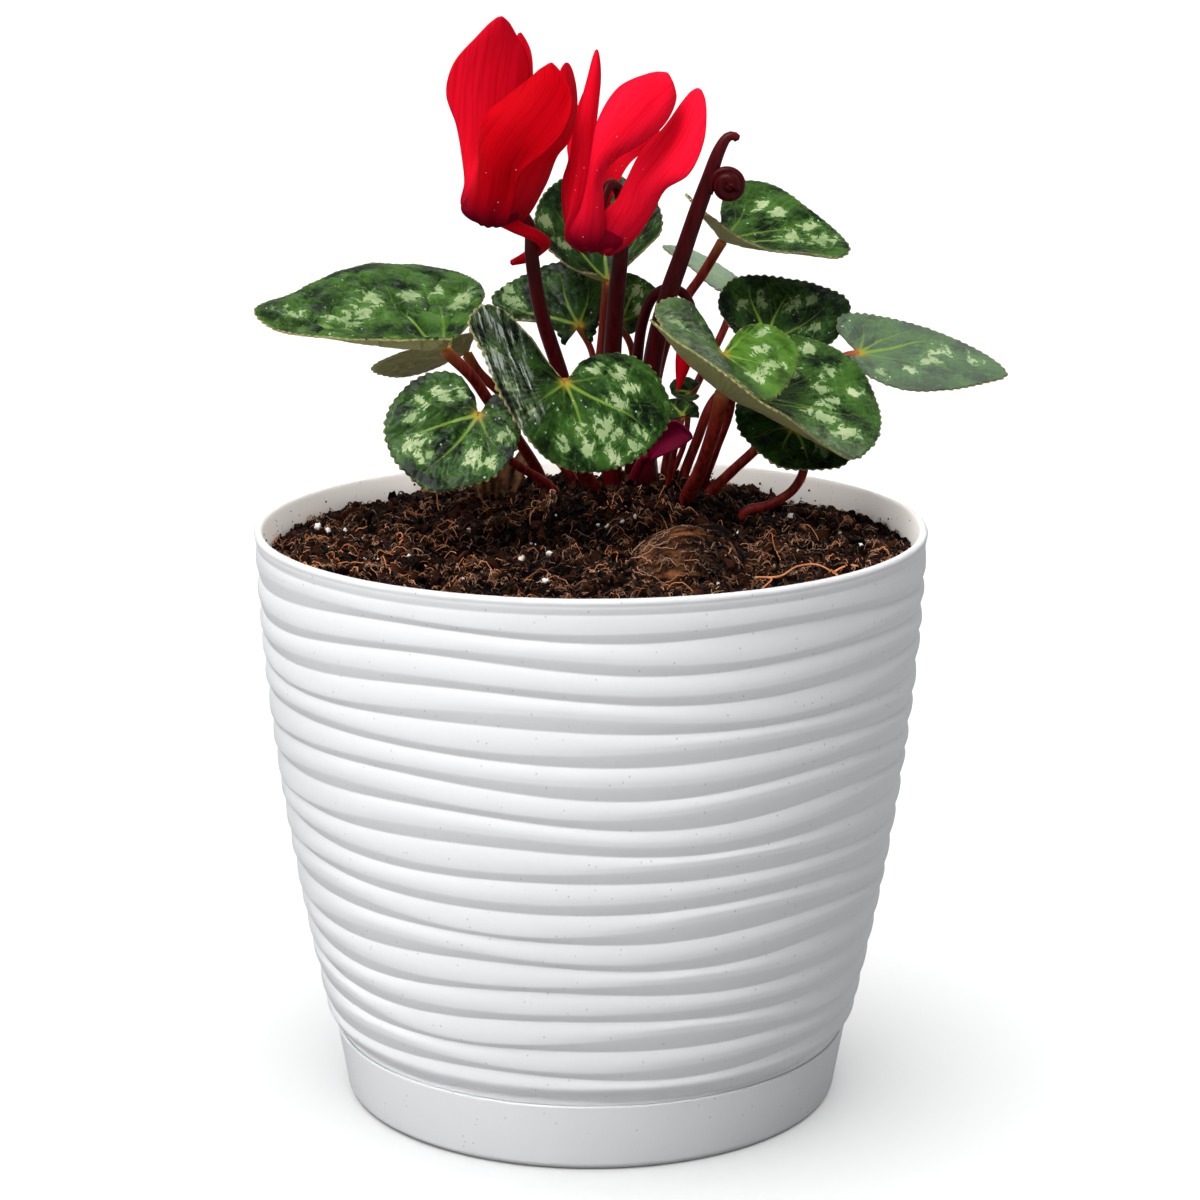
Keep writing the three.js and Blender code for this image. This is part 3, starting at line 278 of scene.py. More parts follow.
# Flower stalks: points from the top down to the soil, each with its radius.
SCAPES = {
    "scape_1": [(-20, 6.8, 213.6, 1.3), (-17, 9, 213, 1.4), (-14.5, 10, 209, 1.5), (-14, 10, 202, 1.7),
                (-12, 12, 189, 1.8), (-7, 16, 172, 1.85), (-4, 20, 159, 1.9), (-1, 25, 144, 2.0),
                (-1, 25, 137, 2.0)],
    "scape_2": [(2.4, 0.3, 212.6, 1.1), (3, 1, 217, 1.2), (4.5, 3, 220, 1.3), (6.5, 5.5, 218.5, 1.4),
                (7.5, 7.5, 212, 1.6), (7, 9, 203, 1.9), (6, 12, 192, 2.1), (5, 16, 176, 2.2),
                (4, 20, 159, 2.3), (5.5, 22, 143, 2.3), (5.5, 22, 136, 2.3)],
    "bare_stalk": [(34.8, 18, 229.2, 1.0), (33.8, 18, 229.9, 1.1), (32.4, 18, 229.5, 1.2),
                   (30.5, 18, 226.5, 1.5), (28, 18, 219.5, 1.8), (25.5, 18, 212.5, 1.95), (22, 18, 202, 2.1),
                   (18, 18, 190, 2.25), (15, 20, 176, 2.3), (13.5, 22, 160, 2.3), (14, 24, 143, 2.3),
                   (14, 24, 136, 2.3)],
    "bud_stalk": [(24.4, 21.5, 185.0, 1.0), (24, 23, 189, 1.1), (21.5, 24, 192, 1.2), (18, 24, 192.5, 1.3),
                  (15, 24, 190.5, 1.3), (12.5, 25, 184, 1.3), (11, 26, 171, 1.35), (10, 27, 156, 1.4),
                  (9.5, 28, 143, 1.4), (9.5, 28, 136, 1.4)],
}
COIL = dict(centre=(32.6, 17.4, 218.3), start=200, turns=1.6, outer=4.4, inner=1.0, tube=(1.05, 2.1))
BUD = dict(top=(24.3, 21.2, 185.3), tip=(21, 18, 168.5), radius=2.45)
YOUNG_LEAF = dict(
    left=[(11.3, 17, 151.5), (13.2, 13.6, 156.6), (16.5, 11, 160.6), (20.0, 9.6, 162.6), (23.4, 9, 160.4)],
    right=[(12.7, 16.6, 150.6), (16.6, 12, 153.6), (20.2, 10.4, 155.4), (22.6, 9.8, 157.0), (24.4, 9, 158.6)],
    bulge=-2.2, curl=(1.0, 1.0))
YOUNG_STALK = [(13.5, 14.6, 153.4, 1.0), (12, 17, 151, 1.15), (9.5, 21, 143, 1.2), (9.5, 21, 136, 1.2)]

TUBER = dict(at=(22, -38, 137.5), size=(12.6, 20, 8.5))
# White grains that show on the soil: x, y and radius.
PERLITE = [(10.7, -4.7, 0.8), (7.6, -4.2, 0.63), (4.0, -5.0, 0.63), (-8.6, 3.0, 0.5), (-16.1, -28.3, 0.85),
           (-9.5, -22.9, 1.0), (-12.9, -15.8, 0.42), (-10.0, -55.7, 0.65), (-29.1, -0.3, 0.42),
           (-28.8, -51.2, 0.42), (48.1, 10.4, 0.8), (63.0, -17.6, 0.5), (59.6, 2.2, 0.42),
           (-65.9, 9.3, 0.9), (-63.5, 10.5, 0.7), (-59.6, 11.7, 0.6), (-54.5, -44.2, 0.5)]
BARK = dict(at=(-23, 27, 144), height=5.2)
# The runs of the pale root at the front: x and y.
ROOT = [[(36.7, -48.7), (41.6, -50.7), (47, -41), (50.8, -38.6), (56.1, -49.7)],
        [(37.5, -49), (40, -56), (37, -64.3)],
        [(55, -42), (59, -40), (63.1, -40.6)]]
# The thin twist that hangs from the left bloom.
TWIST = [(-20, 0, 212), (-16.5, -0.5, 210), (-13.2, 1, 208.4), (-11.2, 4, 206.6), (-10.9, 9, 205.2),
         (-12.4, 14, 203.4), (-15.5, 16, 201.2), (-19.0, 15, 200.0)]
TWIST_RADIUS = [(0, 2.0), (0.15, 1.5), (0.4, 1.5), (0.6, 1.3), (0.85, 1.5), (1, 0.7)]

# ---------------------------------------------------------------- numbers and surfaces


def spline(points, shares):
    """Smooth curve through points, read at shares of its length counted in points."""
    p = np.asarray(points, float)
    last = len(p) - 2
    p = np.vstack([2 * p[0] - p[1], p, 2 * p[-1] - p[-2]])
    place = np.clip(np.asarray(shares, float), 0, 1) * (last + 1)
    i = np.minimum(place.astype(int), last)
    w = (place - i)[:, None]
    a, b, c, d = p[i], p[i + 1], p[i + 2], p[i + 3]

    def knot(u, v):
        return np.maximum(np.linalg.norm(u - v, axis=1), 1e-6)[:, None] ** 0.5

    t0, t1, t2 = knot(a, b), knot(b, c), knot(c, d)
    m1 = ((b - a) / t0 - (c - a) / (t0 + t1) + (c - b) / t1) * t1
    m2 = ((c - b) / t1 - (d - b) / (t1 + t2) + (d - c) / t2) * t1
    return b + m1 * w + (-3 * b + 3 * c - 2 * m1 - m2) * w ** 2 + (2 * b - 2 * c + m1 + m2) * w ** 3


def even_spline(points, count):
    """The same curve, with its points evenly spaced along it."""
    fine = spline(points, np.linspace(0, 1, 400))
    run = run_along(fine)
    want = np.linspace(0, run[-1], count)
    return np.stack([np.interp(want, run, fine[:, k]) for k in range(fine.shape[1])], 1)


def run_along(path):
    """How far each point of a path is from its start, along it."""
    return np.concatenate([[0], np.cumsum(np.linalg.norm(np.diff(path[:, :3], axis=0), axis=1))])


def smooth(value, low, high):
    """A soft step from 0 at low to 1 at high."""
    t = np.clip((value - low) / (high - low), 0, 1)
    return t * t * (3 - 2 * t)


def value_noise(points, seed):
    """Smooth noise from -1 to 1 over a lattice of points one apart."""
    cell = np.floor(points).astype(np.int64)
    t = points - cell
    t = t * t * (3 - 2 * t)
    total = np.zeros(points.shape[:-1])
    for corner in range(8):
        offset = np.array([corner & 1, corner >> 1 & 1, corner >> 2])
        n = (cell + offset) @ np.array([374761393, 668265263, 1274126177]) + seed * 69069
        n = ((n & 0xFFFFFFFF) ^ ((n & 0xFFFFFFFF) >> 13)) * 1103515245 & 0xFFFFFFFF
        total += np.prod(np.where(offset, t, 1 - t), axis=-1) * ((n ^ (n >> 15)) & 0xFFFF) / 65535
    return total * 2 - 1


def rough(points, size, seed, octaves):
    """Fractal noise from -1 to 1, with features of the given size."""
    total = sum(value_noise(points / size * 2 ** o, seed + 11 * o) * 0.5 ** o for o in range(octaves))
    return total / (2 - 0.5 ** (octaves - 1))


def cells(x, y, size, seed):
    """How far a place is from the border of its cell, in a net of uneven cells."""
    px, py = x / size, y / size
    nearest = np.full(x.shape, 9.0)
    second = np.full(x.shape, 9.0)
    for dx in (-1, 0, 1):
        for dy in (-1, 0, 1):
            cx, cy = np.floor(px) + dx, np.floor(py) + dy
            mixed = (cx * 127.1 + cy * 311.7 + seed * 17.3) % 6283.0
            jitter_x = (np.sin(mixed) * 43758.5) % 1
            jitter_y = (np.sin(mixed * 1.37 + 2.1) * 24634.6) % 1
            away = np.hypot(cx + jitter_x - px, cy + jitter_y - py)
            second = np.where(away < nearest, nearest, np.minimum(second, away))
            nearest = np.minimum(nearest, away)
    return (second - nearest) * size


def unit(vectors):
    """The same directions with length 1."""
    return vectors / np.maximum(np.linalg.norm(vectors, axis=-1, keepdims=True), 1e-9)


def between(ends, share):
    """The value at a share of the way from one end to the other."""
    return ends[0] + (ends[1] - ends[0]) * share


def level(x, y):
    """Points at height 0."""
    return np.stack([x, y, 0 * x], -1)


def full_turn(count):
    """Angles evenly all round."""
    return np.arange(count) / count * 2 * np.pi


def grid_triangles(rows, columns, wrap=False):
    """Two triangles for each cell of a grid of points, stored row by row."""
    r, c = np.meshgrid(np.arange(rows - 1), np.arange(columns if wrap else columns - 1), indexing="ij")
    nxt = (c + 1) % columns
    a, b = r * columns + c, r * columns + nxt
    d, e = (r + 1) * columns + c, (r + 1) * columns + nxt
    return np.concatenate([np.stack([a, b, e], -1).reshape(-1, 3), np.stack([a, e, d], -1).reshape(-1, 3)])


def closed_rings(rows, columns):
    """Triangles of rings of points stored one by one, closed by one more point at each end."""
    count = rows * columns
    i = np.arange(columns)
    nxt = (i + 1) % columns
    first = np.stack([np.full(columns, count), nxt, i], 1)
    last = np.stack([np.full(columns, count + 1), count - columns + i, count - columns + nxt], 1)
    return np.concatenate([grid_triangles(rows, columns, wrap=True), first, last])


class Shell:
    """Points, triangles and named values per point, gathered before they become one mesh."""

    def __init__(self):
        self.points, self.triangles, self.values, self.count = [], [], {}, 0

    def add(self, points, triangles, **values):
        points = np.asarray(points, float).reshape(-1, 3)
        self.triangles.append(np.asarray(triangles) + self.count)
        self.points.append(points)
        for key, value in values.items():
            self.values.setdefault(key, []).append(np.broadcast_to(np.ravel(value), len(points)))
        self.count += len(points)

    def make(self, name, material, slot, *nodes):
        mesh = bpy.data.meshes.new(name)
        points, triangles = np.concatenate(self.points), np.concatenate(self.triangles)
        mesh.vertices.add(len(points))
        mesh.vertices.foreach_set("co", (points * MM).astype(np.float32).ravel())
        mesh.loops.add(triangles.size)
        mesh.loops.foreach_set("vertex_index", triangles.astype(np.int32).ravel())
        mesh.polygons.add(len(triangles))
        mesh.polygons.foreach_set("loop_start", np.arange(0, triangles.size, 3, dtype=np.int32))
        mesh.polygons.foreach_set("use_smooth", np.ones(len(triangles), bool))
        for key, parts in self.values.items():
            layer = mesh.attributes.new(key, "FLOAT", "POINT")
            layer.data.foreach_set("value", np.concatenate(parts).astype(np.float32))
        mesh.update()
        mesh.validate()
        piece = bpy.data.objects.new(name, mesh)
        bpy.context.collection.objects.link(piece)
        mesh.materials.append(material)
        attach(piece, "root")
        if nodes:
            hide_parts(*nodes)
        return piece


def make_piece(name, solid, material, slot, *nodes, **values):
    """One piece from the points and triangles of one solid."""
    shell = Shell()
    shell.add(*solid, **values)
    shell.make(name, material, slot, *nodes)


def tube(path, radius, sides=14):
    """Points and triangles of a closed round tube; radius may change along the path."""
    radius = np.broadcast_to(radius, len(path))
    along = unit(np.gradient(path, axis=0))
    side = unit(np.cross(along[0], [0.3, 0.5, 0.8]))
    across = []
    for direction in along:
        side = unit(side - direction * (side @ direction))
        across.append(side)
    side = np.array(across)
    other = np.cross(along, side)
    turn = full_turn(sides)
    rings = path[:, None] + radius[:, None, None] * (
        np.cos(turn)[None, :, None] * side[:, None] + np.sin(turn)[None, :, None] * other[:, None])
    ends = path[[0, -1]] + along[[0, -1]] * (radius[[0, -1]] * (-0.5, 0.5))[:, None]
    return np.vstack([rings.reshape(-1, 3), ends]), closed_rings(len(path), sides)


def per_ring(values, sides):
    """One value for each ring of a tube, repeated for all its points."""
    return np.concatenate([np.repeat(values, sides), [values[0], values[-1]]])


def ball(centre, size, columns=24, rows=14):
    """Points and triangles of an ellipsoid whose poles are above and below its middle."""
    lat = np.linspace(0, np.pi, rows + 1)[1:-1]
    lon = full_turn(columns)
    ring = np.stack([np.sin(lat)[:, None] * np.cos(lon), np.sin(lat)[:, None] * np.sin(lon),
                     np.repeat(np.cos(lat)[:, None], columns, 1)], -1)
    points = np.vstack([ring.reshape(-1, 3), [0, 0, 1], [0, 0, -1]])
    return points * size + centre, closed_rings(len(lat), columns)[:, ::-1]


def sheet_shell(shell, grid, normal, thickness, **values):
    """Adds both faces of a sheet (side 1 and 0) given as a grid, and the strip round its open edge."""
    rows, columns = grid.shape[:2]
    count = rows * columns
    top, low = grid + normal * thickness / 2, grid - normal * thickness / 2
    face = grid_triangles(rows, columns)
    border = np.concatenate([np.arange(columns), np.arange(1, rows) * columns + columns - 1,
                             (rows - 1) * columns + np.arange(columns - 2, -1, -1),
                             np.arange(rows - 2, 0, -1) * columns])
    nxt = np.roll(border, -1)
    rim = np.concatenate([np.stack([border, border + count, nxt + count], 1),
                          np.stack([border, nxt + count, nxt], 1)])
    triangles = np.concatenate([face, face[:, ::-1] + count, rim])
    doubled = {key: np.concatenate([np.ravel(value)] * 2) for key, value in values.items()}
    doubled["side"] = np.repeat((1.0, 0.0), count)
    shell.add(np.concatenate([top.reshape(-1, 3), low.reshape(-1, 3)]), triangles, **doubled)


def grid_normal(grid):
    """The way out of a sheet at each of its points."""
    return unit(np.cross(np.gradient(grid, axis=1), np.gradient(grid, axis=0)))


# ---------------------------------------------------------------- materials

def linear(*screen):
    """A colour given as it looks on screen, from 0 to 255."""
    shares = [c / 255 for c in screen]
    return (*(c / 12.92 if c <= 10 / 255 else ((c + 0.055) / 1.055) ** 2.4 for c in shares), 1)


class Nodes:
    """Short names for the shader nodes used here."""

    def __init__(self, name, **fixed):
        self.material = bpy.data.materials.new(name)
        self.material.use_nodes = True
        self.tree = self.material.node_tree
        self.shader = self.tree.nodes["Principled BSDF"]
        self.place = self.node("ShaderNodeTexCoord").outputs["Object"]
        for key, value in fixed.items():
            self.shader.inputs[key.replace("_", " ")].default_value = value

    def node(self, kind):
        return self.tree.nodes.new(kind)

    def link(self, source, target):
        self.tree.links.new(source, target)

    def put(self, target, value):
        if isinstance(value, bpy.types.NodeSocket):
            self.link(value, target)
        else:
            target.default_value = value

    def value(self, name):
        node = self.node("ShaderNodeAttribute")
        node.attribute_name = name
        return node.outputs["Fac"]

    def noise(self, scale, detail, roughness=0.55, place=None, stretch=None, swirl=0.0):
        node = self.node("ShaderNodeTexNoise")
        node.inputs["Distortion"].default_value = swirl
        node.inputs["Scale"].default_value = scale
        node.inputs["Detail"].default_value = detail
        node.inputs["Roughness"].default_value = roughness
        where = place or self.place
        if stretch:
            scaled = self.node("ShaderNodeMapping")
            scaled.inputs["Scale"].default_value = stretch
            self.link(where, scaled.inputs["Vector"])
            where = scaled.outputs["Vector"]
        self.link(where, node.inputs["Vector"])
        return node.outputs["Fac"]

    def edges(self, scale):
        """Distance to the borders of small cells."""
        node = self.node("ShaderNodeTexVoronoi")
        node.feature = "DISTANCE_TO_EDGE"
        node.inputs["Scale"].default_value = scale
        self.link(self.place, node.inputs["Vector"])
        return node.outputs["Distance"]

    def vector(self, first, second):
        node = self.node("ShaderNodeCombineXYZ")
        self.link(self.value(first), node.inputs[0])
        self.link(self.value(second), node.inputs[1])
        return node.outputs[0]

    def scaled(self, value, factor):
        return self.math("MULTIPLY", value, factor)

    def plus(self, first, second):
        return self.math("ADD", first, second)

    def ramp(self, value, low, high, to_low=0.0, to_high=1.0):
        node = self.node("ShaderNodeMapRange")
        node.interpolation_type = "SMOOTHSTEP"
        for key, number in (("From Min", low), ("From Max", high), ("To Min", to_low), ("To Max", to_high)):
            node.inputs[key].default_value = number
        self.put(node.inputs["Value"], value)
        return node.outputs["Result"]

    def math(self, operation, first, second):
        node = self.node("ShaderNodeMath")
        node.operation = operation
        self.put(node.inputs[0], first)
        self.put(node.inputs[1], second)
        return node.outputs[0]

    def mix(self, share, first, second):
        node = self.node("ShaderNodeMix")
        node.data_type = "RGBA"
        self.put(node.inputs[0], share)
        self.put(node.inputs[6], first)
        self.put(node.inputs[7], second)
        return node.outputs[2]

    def finish(self, colour, roughness=None, height=None, strength=0.3, distance=0.0005):
        self.put(self.shader.inputs["Base Color"], colour)
        if roughness is not None:
            self.put(self.shader.inputs["Roughness"], roughness)
        if height is not None:
            bump = self.node("ShaderNodeBump")
            bump.inputs["Strength"].default_value = strength
            bump.inputs["Distance"].default_value = distance
            self.link(height, bump.inputs["Height"])
            self.link(bump.outputs["Normal"], self.shader.inputs["Normal"])
        return self.material


def leaf_upper_side(n, blots, broad, fine, tint, pale, grey, painted_strokes):
    """Waxy green with ragged silver marbling; some leaves also get a painted yellow-green highlight, an
    overall painted grey reflection, a painted grey reflection on folded stretches, and painted dark and
    bright strokes.
    """
    # Tint sets how dark the green is; it is partly the leaf's own colour and partly painted shade.
    dark = linear(2 + 6 * tint, 11 + 22 * tint, 3 + 5 * tint)
    fresh = linear(33 + 60 * tint, 64 + 74 * tint, 20 + 32 * tint)
    green = n.mix(n.ramp(n.plus(broad, n.scaled(fine, 0.3)), 0.5, 0.8), dark, fresh)
    # A painted yellow-green highlight between the leaf's two given angles.
    green = n.mix(n.scaled(n.value("glow"), n.ramp(broad, 0.3, 0.7, 0.15, 0.75)), green, linear(98, 146, 40))
    field = n.plus(n.value("marble"), n.scaled(blots, 3.6))
    field = n.plus(field, n.math("SUBTRACT", n.scaled(fine, 0.55), 2.12))
    halo = n.ramp(field, 0.05, 0.6, 0.0, 0.62 * pale)
    cream = n.ramp(field, 0.62, 0.74, 0.0, 0.78 * pale)
    silver = n.mix(n.ramp(broad, 0.3, 0.7), linear(150, 178, 118), linear(214, 226, 178))
    green = n.mix(halo, green, n.mix(fine, linear(54, 104, 34), linear(104, 148, 72)))
    green = n.mix(cream, green, silver)
    # Overall painted grey reflection, in the amount given for each leaf.
    green = n.mix(grey, green, linear(160, 180, 158))
    green = n.mix(n.ramp(n.value("vein"), 0.12, 0.9, 0.0, 0.85), green, linear(134, 170, 62))
    # Painted grey reflection over the folded stretches.
    painted_sheen_share = n.scaled(n.value("sheen"), n.ramp(blots, 0.36, 0.66, 0.1, 0.5))
    green = n.mix(painted_sheen_share, green, linear(136, 154, 122))
    # Painted dark shade strokes and painted bright highlight strokes across the folded stretch.
    if painted_strokes:
        painted_stroke_noise = n.noise(1.0, 6, 0.62, n.vector("forth", "inward"), (0.1, 0.72, 1), 0.25)
        painted_sheen_window = n.scaled(n.value("sheen"), painted_strokes)
        green = n.mix(n.scaled(painted_sheen_window, n.ramp(painted_stroke_noise, 0.42, 0.5, 0.97, 0.0)), green, linear(3, 5, 3))
        green = n.mix(n.scaled(painted_sheen_window, n.ramp(painted_stroke_noise, 0.55, 0.58)), green, linear(204, 212, 204))
    return n.mix(n.value("base"), green, linear(186, 150, 44))


def leaf_under_side(n, plane):
    """Pale olive with lighter veins."""
    olive = n.mix(n.noise(1.0, 3, 0.5, plane, (1.6, 0.1, 1)), linear(186, 184, 132), linear(150, 152, 98))
    olive = n.mix(n.ramp(n.value("vein"), 0.1, 0.9, 0.0, 0.5), olive, linear(216, 210, 170))
    return n.mix(n.value("base"), olive, linear(178, 150, 50))


def leaf_material(name, tint, pale=1.0, grey=0.0, painted_strokes=0.0):
    """A leaf's two sides and its light rim; tint runs from the darkest leaf (0) to the lightest (1), and is
    partly painted shade, as the darkest are leaves that sit in shade.
    """
    n = Nodes(name, Coat_Weight=0.05, Coat_Roughness=0.2, Specular_IOR_Level=0.11)
    plane = n.vector("across", "along")
    blots = n.noise(1.0, 7, 0.66, plane, (0.62, 0.42, 1), 0.7)
    broad = n.noise(1.0, 3, 0.5, plane, (0.2, 0.13, 1))
    fine = n.noise(1500, 4, 0.6)
    upper = leaf_upper_side(n, blots, broad, fine, tint, pale, grey, painted_strokes)
    colour = n.mix(n.value("side"), leaf_under_side(n, plane), upper)
    colour = n.mix(n.ramp(n.value("rim"), 0.35, 0.8, 0.0, 0.85), colour, linear(176, 156, 104))
    net = n.ramp(n.edges(520), 0.0, 0.3, 0.0, 0.8)
    height = n.plus(n.scaled(fine, 0.35), n.plus(net, n.scaled(blots, 0.15)))
    return n.finish(colour, n.ramp(n.value("side"), 0, 1, 0.6, 0.4), height, 0.3, 0.0002)


def petal_material():
    """Velvet red with darker lines along the petal, a dark nose, and a tone per petal that is partly painted
    light and shade.
    """
    n = Nodes("petal", Subsurface_Weight=0.15, Subsurface_Scale=0.0012, Specular_IOR_Level=0.02)
    n.shader.inputs["Subsurface Radius"].default_value = (1.0, 0.04, 0.06)
    plane = n.vector("across", "along")
    lines = n.noise(1.0, 4, 0.6, plane, (1.3, 0.05, 1))
    broad = n.noise(1.0, 2, 0.5, plane, (0.2, 0.05, 1))
    velvet = n.noise(3200, 2, 0.6)
    # The tone per petal is partly its own variation and partly painted light and shade.
    bright = n.mix(n.value("tone"), linear(202, 0, 14), linear(255, 22, 54))
    veins = n.mix(n.value("tone"), linear(160, 0, 10), linear(236, 8, 34))
    red = n.mix(n.ramp(lines, 0.44, 0.66, 0.0, 0.75), bright, veins)
    red = n.mix(n.ramp(broad, 0.4, 0.7, 0.0, 0.25), red, linear(196, 0, 18))
    red = n.mix(n.ramp(n.value("nose"), 0.12, 1.0, 0.0, 0.92), red, linear(98, 3, 28))
    height = n.plus(lines, n.scaled(velvet, 0.2))
    return n.finish(red, n.ramp(velvet, 0.3, 0.7, 0.55, 0.65), height, 0.07, 0.0004)


def stalk_material(name, low, high, top, roughness=0.34):
    """Fleshy stalk: mottled between two colours and turning to a third at its top."""
    n = Nodes(name, Coat_Weight=0.04, Coat_Roughness=0.25, Specular_IOR_Level=0.12)
    streak = n.noise(1.0, 4, 0.6, stretch=(900, 900, 90))
    fine = n.noise(2400, 3, 0.6)
    colour = n.mix(n.ramp(streak, 0.3, 0.75), low, high)
    colour = n.mix(n.value("top"), colour, top)
    return n.finish(colour, roughness, n.plus(streak, n.scaled(fine, 0.3)), 0.1, 0.0002)


def plastic_material(name, painted_warm_light=0):
    """White plastic with sparse fine grey specks."""
    n = Nodes(name, Specular_IOR_Level=0.4)
    speck = n.node("ShaderNodeTexVoronoi")
    speck.inputs["Scale"].default_value = 420
    n.link(n.place, speck.inputs["Vector"])
    hue = n.node("ShaderNodeSeparateColor")
    n.link(speck.outputs["Color"], hue.inputs[0])
    rare = n.ramp(hue.outputs[0], 0.35, 0.4)
    near = n.ramp(speck.outputs["Distance"], 0.06, 0.12, 1.0, 0.0)
    cloud = n.noise(30, 3)
    # The warmer colours, used only on the pot's inner wall, are a painted warm light.
    light = linear(243, 243 - 0.5 * painted_warm_light, 244 - painted_warm_light)
    shade = linear(238, 239 - 0.5 * painted_warm_light, 241 - painted_warm_light)
    colour = n.mix(n.scaled(n.scaled(rare, near), 0.42), n.mix(cloud, light, shade), linear(120, 122, 128))
    fine = n.noise(700, 3)
    return n.finish(colour, n.ramp(cloud, 0.3, 0.7, 0.4, 0.46), fine, 0.04, 0.0003)


def earth_material(name, dark, light, size=900, strength=0.8, gloss=0.0):
    """Crumbly matter, matt or moist; 'tone' per point shifts it from dark to light."""
    n = Nodes(name, Specular_IOR_Level=0.06 + 0.3 * gloss)
    grain = n.noise(size, 6, 0.7)
    mottled = n.plus(n.value("tone"), n.scaled(n.math("SUBTRACT", grain, 0.5), 0.9))
    share = n.ramp(mottled, 0.05, 0.95)
    return n.finish(n.mix(share, dark, light), 0.88 - 0.45 * gloss, grain, strength, 0.0008)


def dew_material():
    """Drops, only partly clear, whose near-white colour is a painted glint."""
    n = Nodes("dew", Transmission_Weight=0.3, IOR=1.33, Coat_Weight=1.0, Coat_Roughness=0.02)
    return n.finish(n.mix(n.noise(500, 2), linear(250, 252, 250), linear(225, 235, 225)), 0.05)


# ---------------------------------------------------------------- pot and saucer


def pot_radius(z):
    """The pot's outside, from crest to crest; it narrows more and more toward the foot."""
    share = np.clip((POT_TOP - z) / (POT_TOP - TRAY_TOP), 0, None)
    return RIM_RADIUS - 0.2 - FOOT_TAPER * share ** TAPER_POWER


def pot_inside(z):
    """The radius of the pot's inner wall."""
    return pot_radius(z) - RIB_DEPTH - WALL


def rib_height(angle, rib, fold):
    """The height of one rib's crest or valley, all round the pot."""
    height, waves = fold
    height = RIB_TOP_LINE - RIB_PITCH * rib + height
    for swing, number, turn, start in waves:
        height = height + swing * np.sin(number * angle + turn * rib + start)
    return height


def rib_relief(angle, z):
    """How far the wall stands in from its crests, from 0 at a crest to 1 at a valley."""
    heights = [np.full_like(angle, LIP_FOOT), np.full_like(angle, LIP_GROOVE)]
    for rib in range(1, RIB_COUNT + 1):
        for fold in (CREST, VALLEY):
            wanted = np.minimum(rib_height(angle, rib, fold), heights[-1] - RIB_LEAST)
            heights.append(np.maximum(wanted, RIB_BOTTOM + RIB_LEAST))
    heights.append(np.full_like(angle, RIB_BOTTOM))
    relief = np.zeros_like(z)
    for number, (top, bottom) in enumerate(zip(heights, heights[1:])):
        share = np.clip((top - z) / np.maximum(top - bottom, 0.01), 0, 1)
        shape = np.clip((share - 0.2) / 0.8, 0, 1) ** 1.35 if number % 2 == 0 else (1 - share) ** 1.8
        relief = np.where((z <= top) & (z > bottom), shape, relief)
    return np.where(z > heights[2], 0.4 * relief, relief)


def lathe(profile, columns):
    """Rings of points round the pot's axis, one for each (radius, height) of a profile."""
    radius, height = np.asarray(profile, float).T[..., None]
    turn = full_turn(columns)
    return np.stack([radius * np.cos(turn), radius * np.sin(turn), np.repeat(height, columns, 1)], -1)


def close_lathe(ring):
    """Points and triangles of the round solid between the axis and its rings."""
    points = np.vstack([ring.reshape(-1, 3), [0, 0, ring[0, 0, 2]], [0, 0, ring[-1, 0, 2]]])
    return points, closed_rings(*ring.shape[:2])


def rounded(corners, radius):
    """A profile whose inner corners are rounded."""
    corners = [np.array(c, float) for c in corners]
    out = [corners[0]]
    for before, corner, after in zip(corners, corners[1:], corners[2:]):
        a, b = (corner + unit(end - corner) * min(radius, np.linalg.norm(end - corner) * 0.45)
                for end in (before, after))
        for t in np.linspace(0, 1, 6):
            out.append(a * (1 - t) ** 2 + corner * 2 * t * (1 - t) + b * t * t)
    return [*out, corners[-1]]


def ring_closing(rows, columns):
    """Triangles that join the last ring of a grid to its first."""
    i = np.arange(columns)
    nxt = (i + 1) % columns
    last = (rows - 1) * columns
    return np.concatenate([np.stack([last + i, last + nxt, nxt], 1), np.stack([last + i, nxt, i], 1)])


def make_pot(material):
    """The pot with its ribbed outside, and the thin skin of its inner wall."""
    columns = 420
    angle, height = np.meshgrid(full_turn(columns), np.linspace(RIB_BOTTOM + 0.05, LIP_FOOT, 600))
    radius = pot_radius(height) - RIB_DEPTH * rib_relief(angle, height)
    radius = radius - FOOT_TUCK * (1 - smooth(height, SAUCER_LIP, SAUCER_LIP + 5.5))
    wall = np.stack([radius * np.cos(angle), radius * np.sin(angle), height], -1)
    inside = [*((pot_inside(z), z) for z in (120, 90, 50)), (55.4, 4.7)]
    rings = np.concatenate([lathe(POT_FOOT, columns), wall, lathe(POT_LIP + inside, columns)])
    make_piece("pot_ribbed", close_lathe(rings), material, "white_plastic", "pot")
    skin = [*LIP_SKIN, (pot_inside(115) - 0.1, 115)]
    lining = lathe(skin + [(r + LINING, z) for r, z in skin[::-1]], columns)
    faces = [grid_triangles(len(lining), columns, wrap=True), ring_closing(len(lining), columns)]
    # The inner wall's warmer white is a painted warm light.
    painted_warm_plastic = plastic_material("white_plastic_inside", 14)
    make_piece("pot_inner_face", (lining, np.concatenate(faces)), painted_warm_plastic, "white_plastic")


def make_tray(material):
    """The saucer, with its chamfered foot and rolled lip."""
    lip = TRAY_TOP_RADIUS + 0.9
    profile = rounded([(0.5, 0), (TRAY_FOOT_RADIUS - 1.0, 0), (TRAY_FOOT_RADIUS + 0.1, 1.2),
                       (lip, SAUCER_LIP), (lip - 0.9, SAUCER_LIP), (lip - 1.6, TRAY_TOP - 3),
                       (TRAY_FOOT_RADIUS - 1.6, 2), (0.5, 2)], 0.6)
    make_piece("saucer", close_lathe(lathe(profile, 360)), material, "white_plastic", "tray")


# ---------------------------------------------------------------- leaves


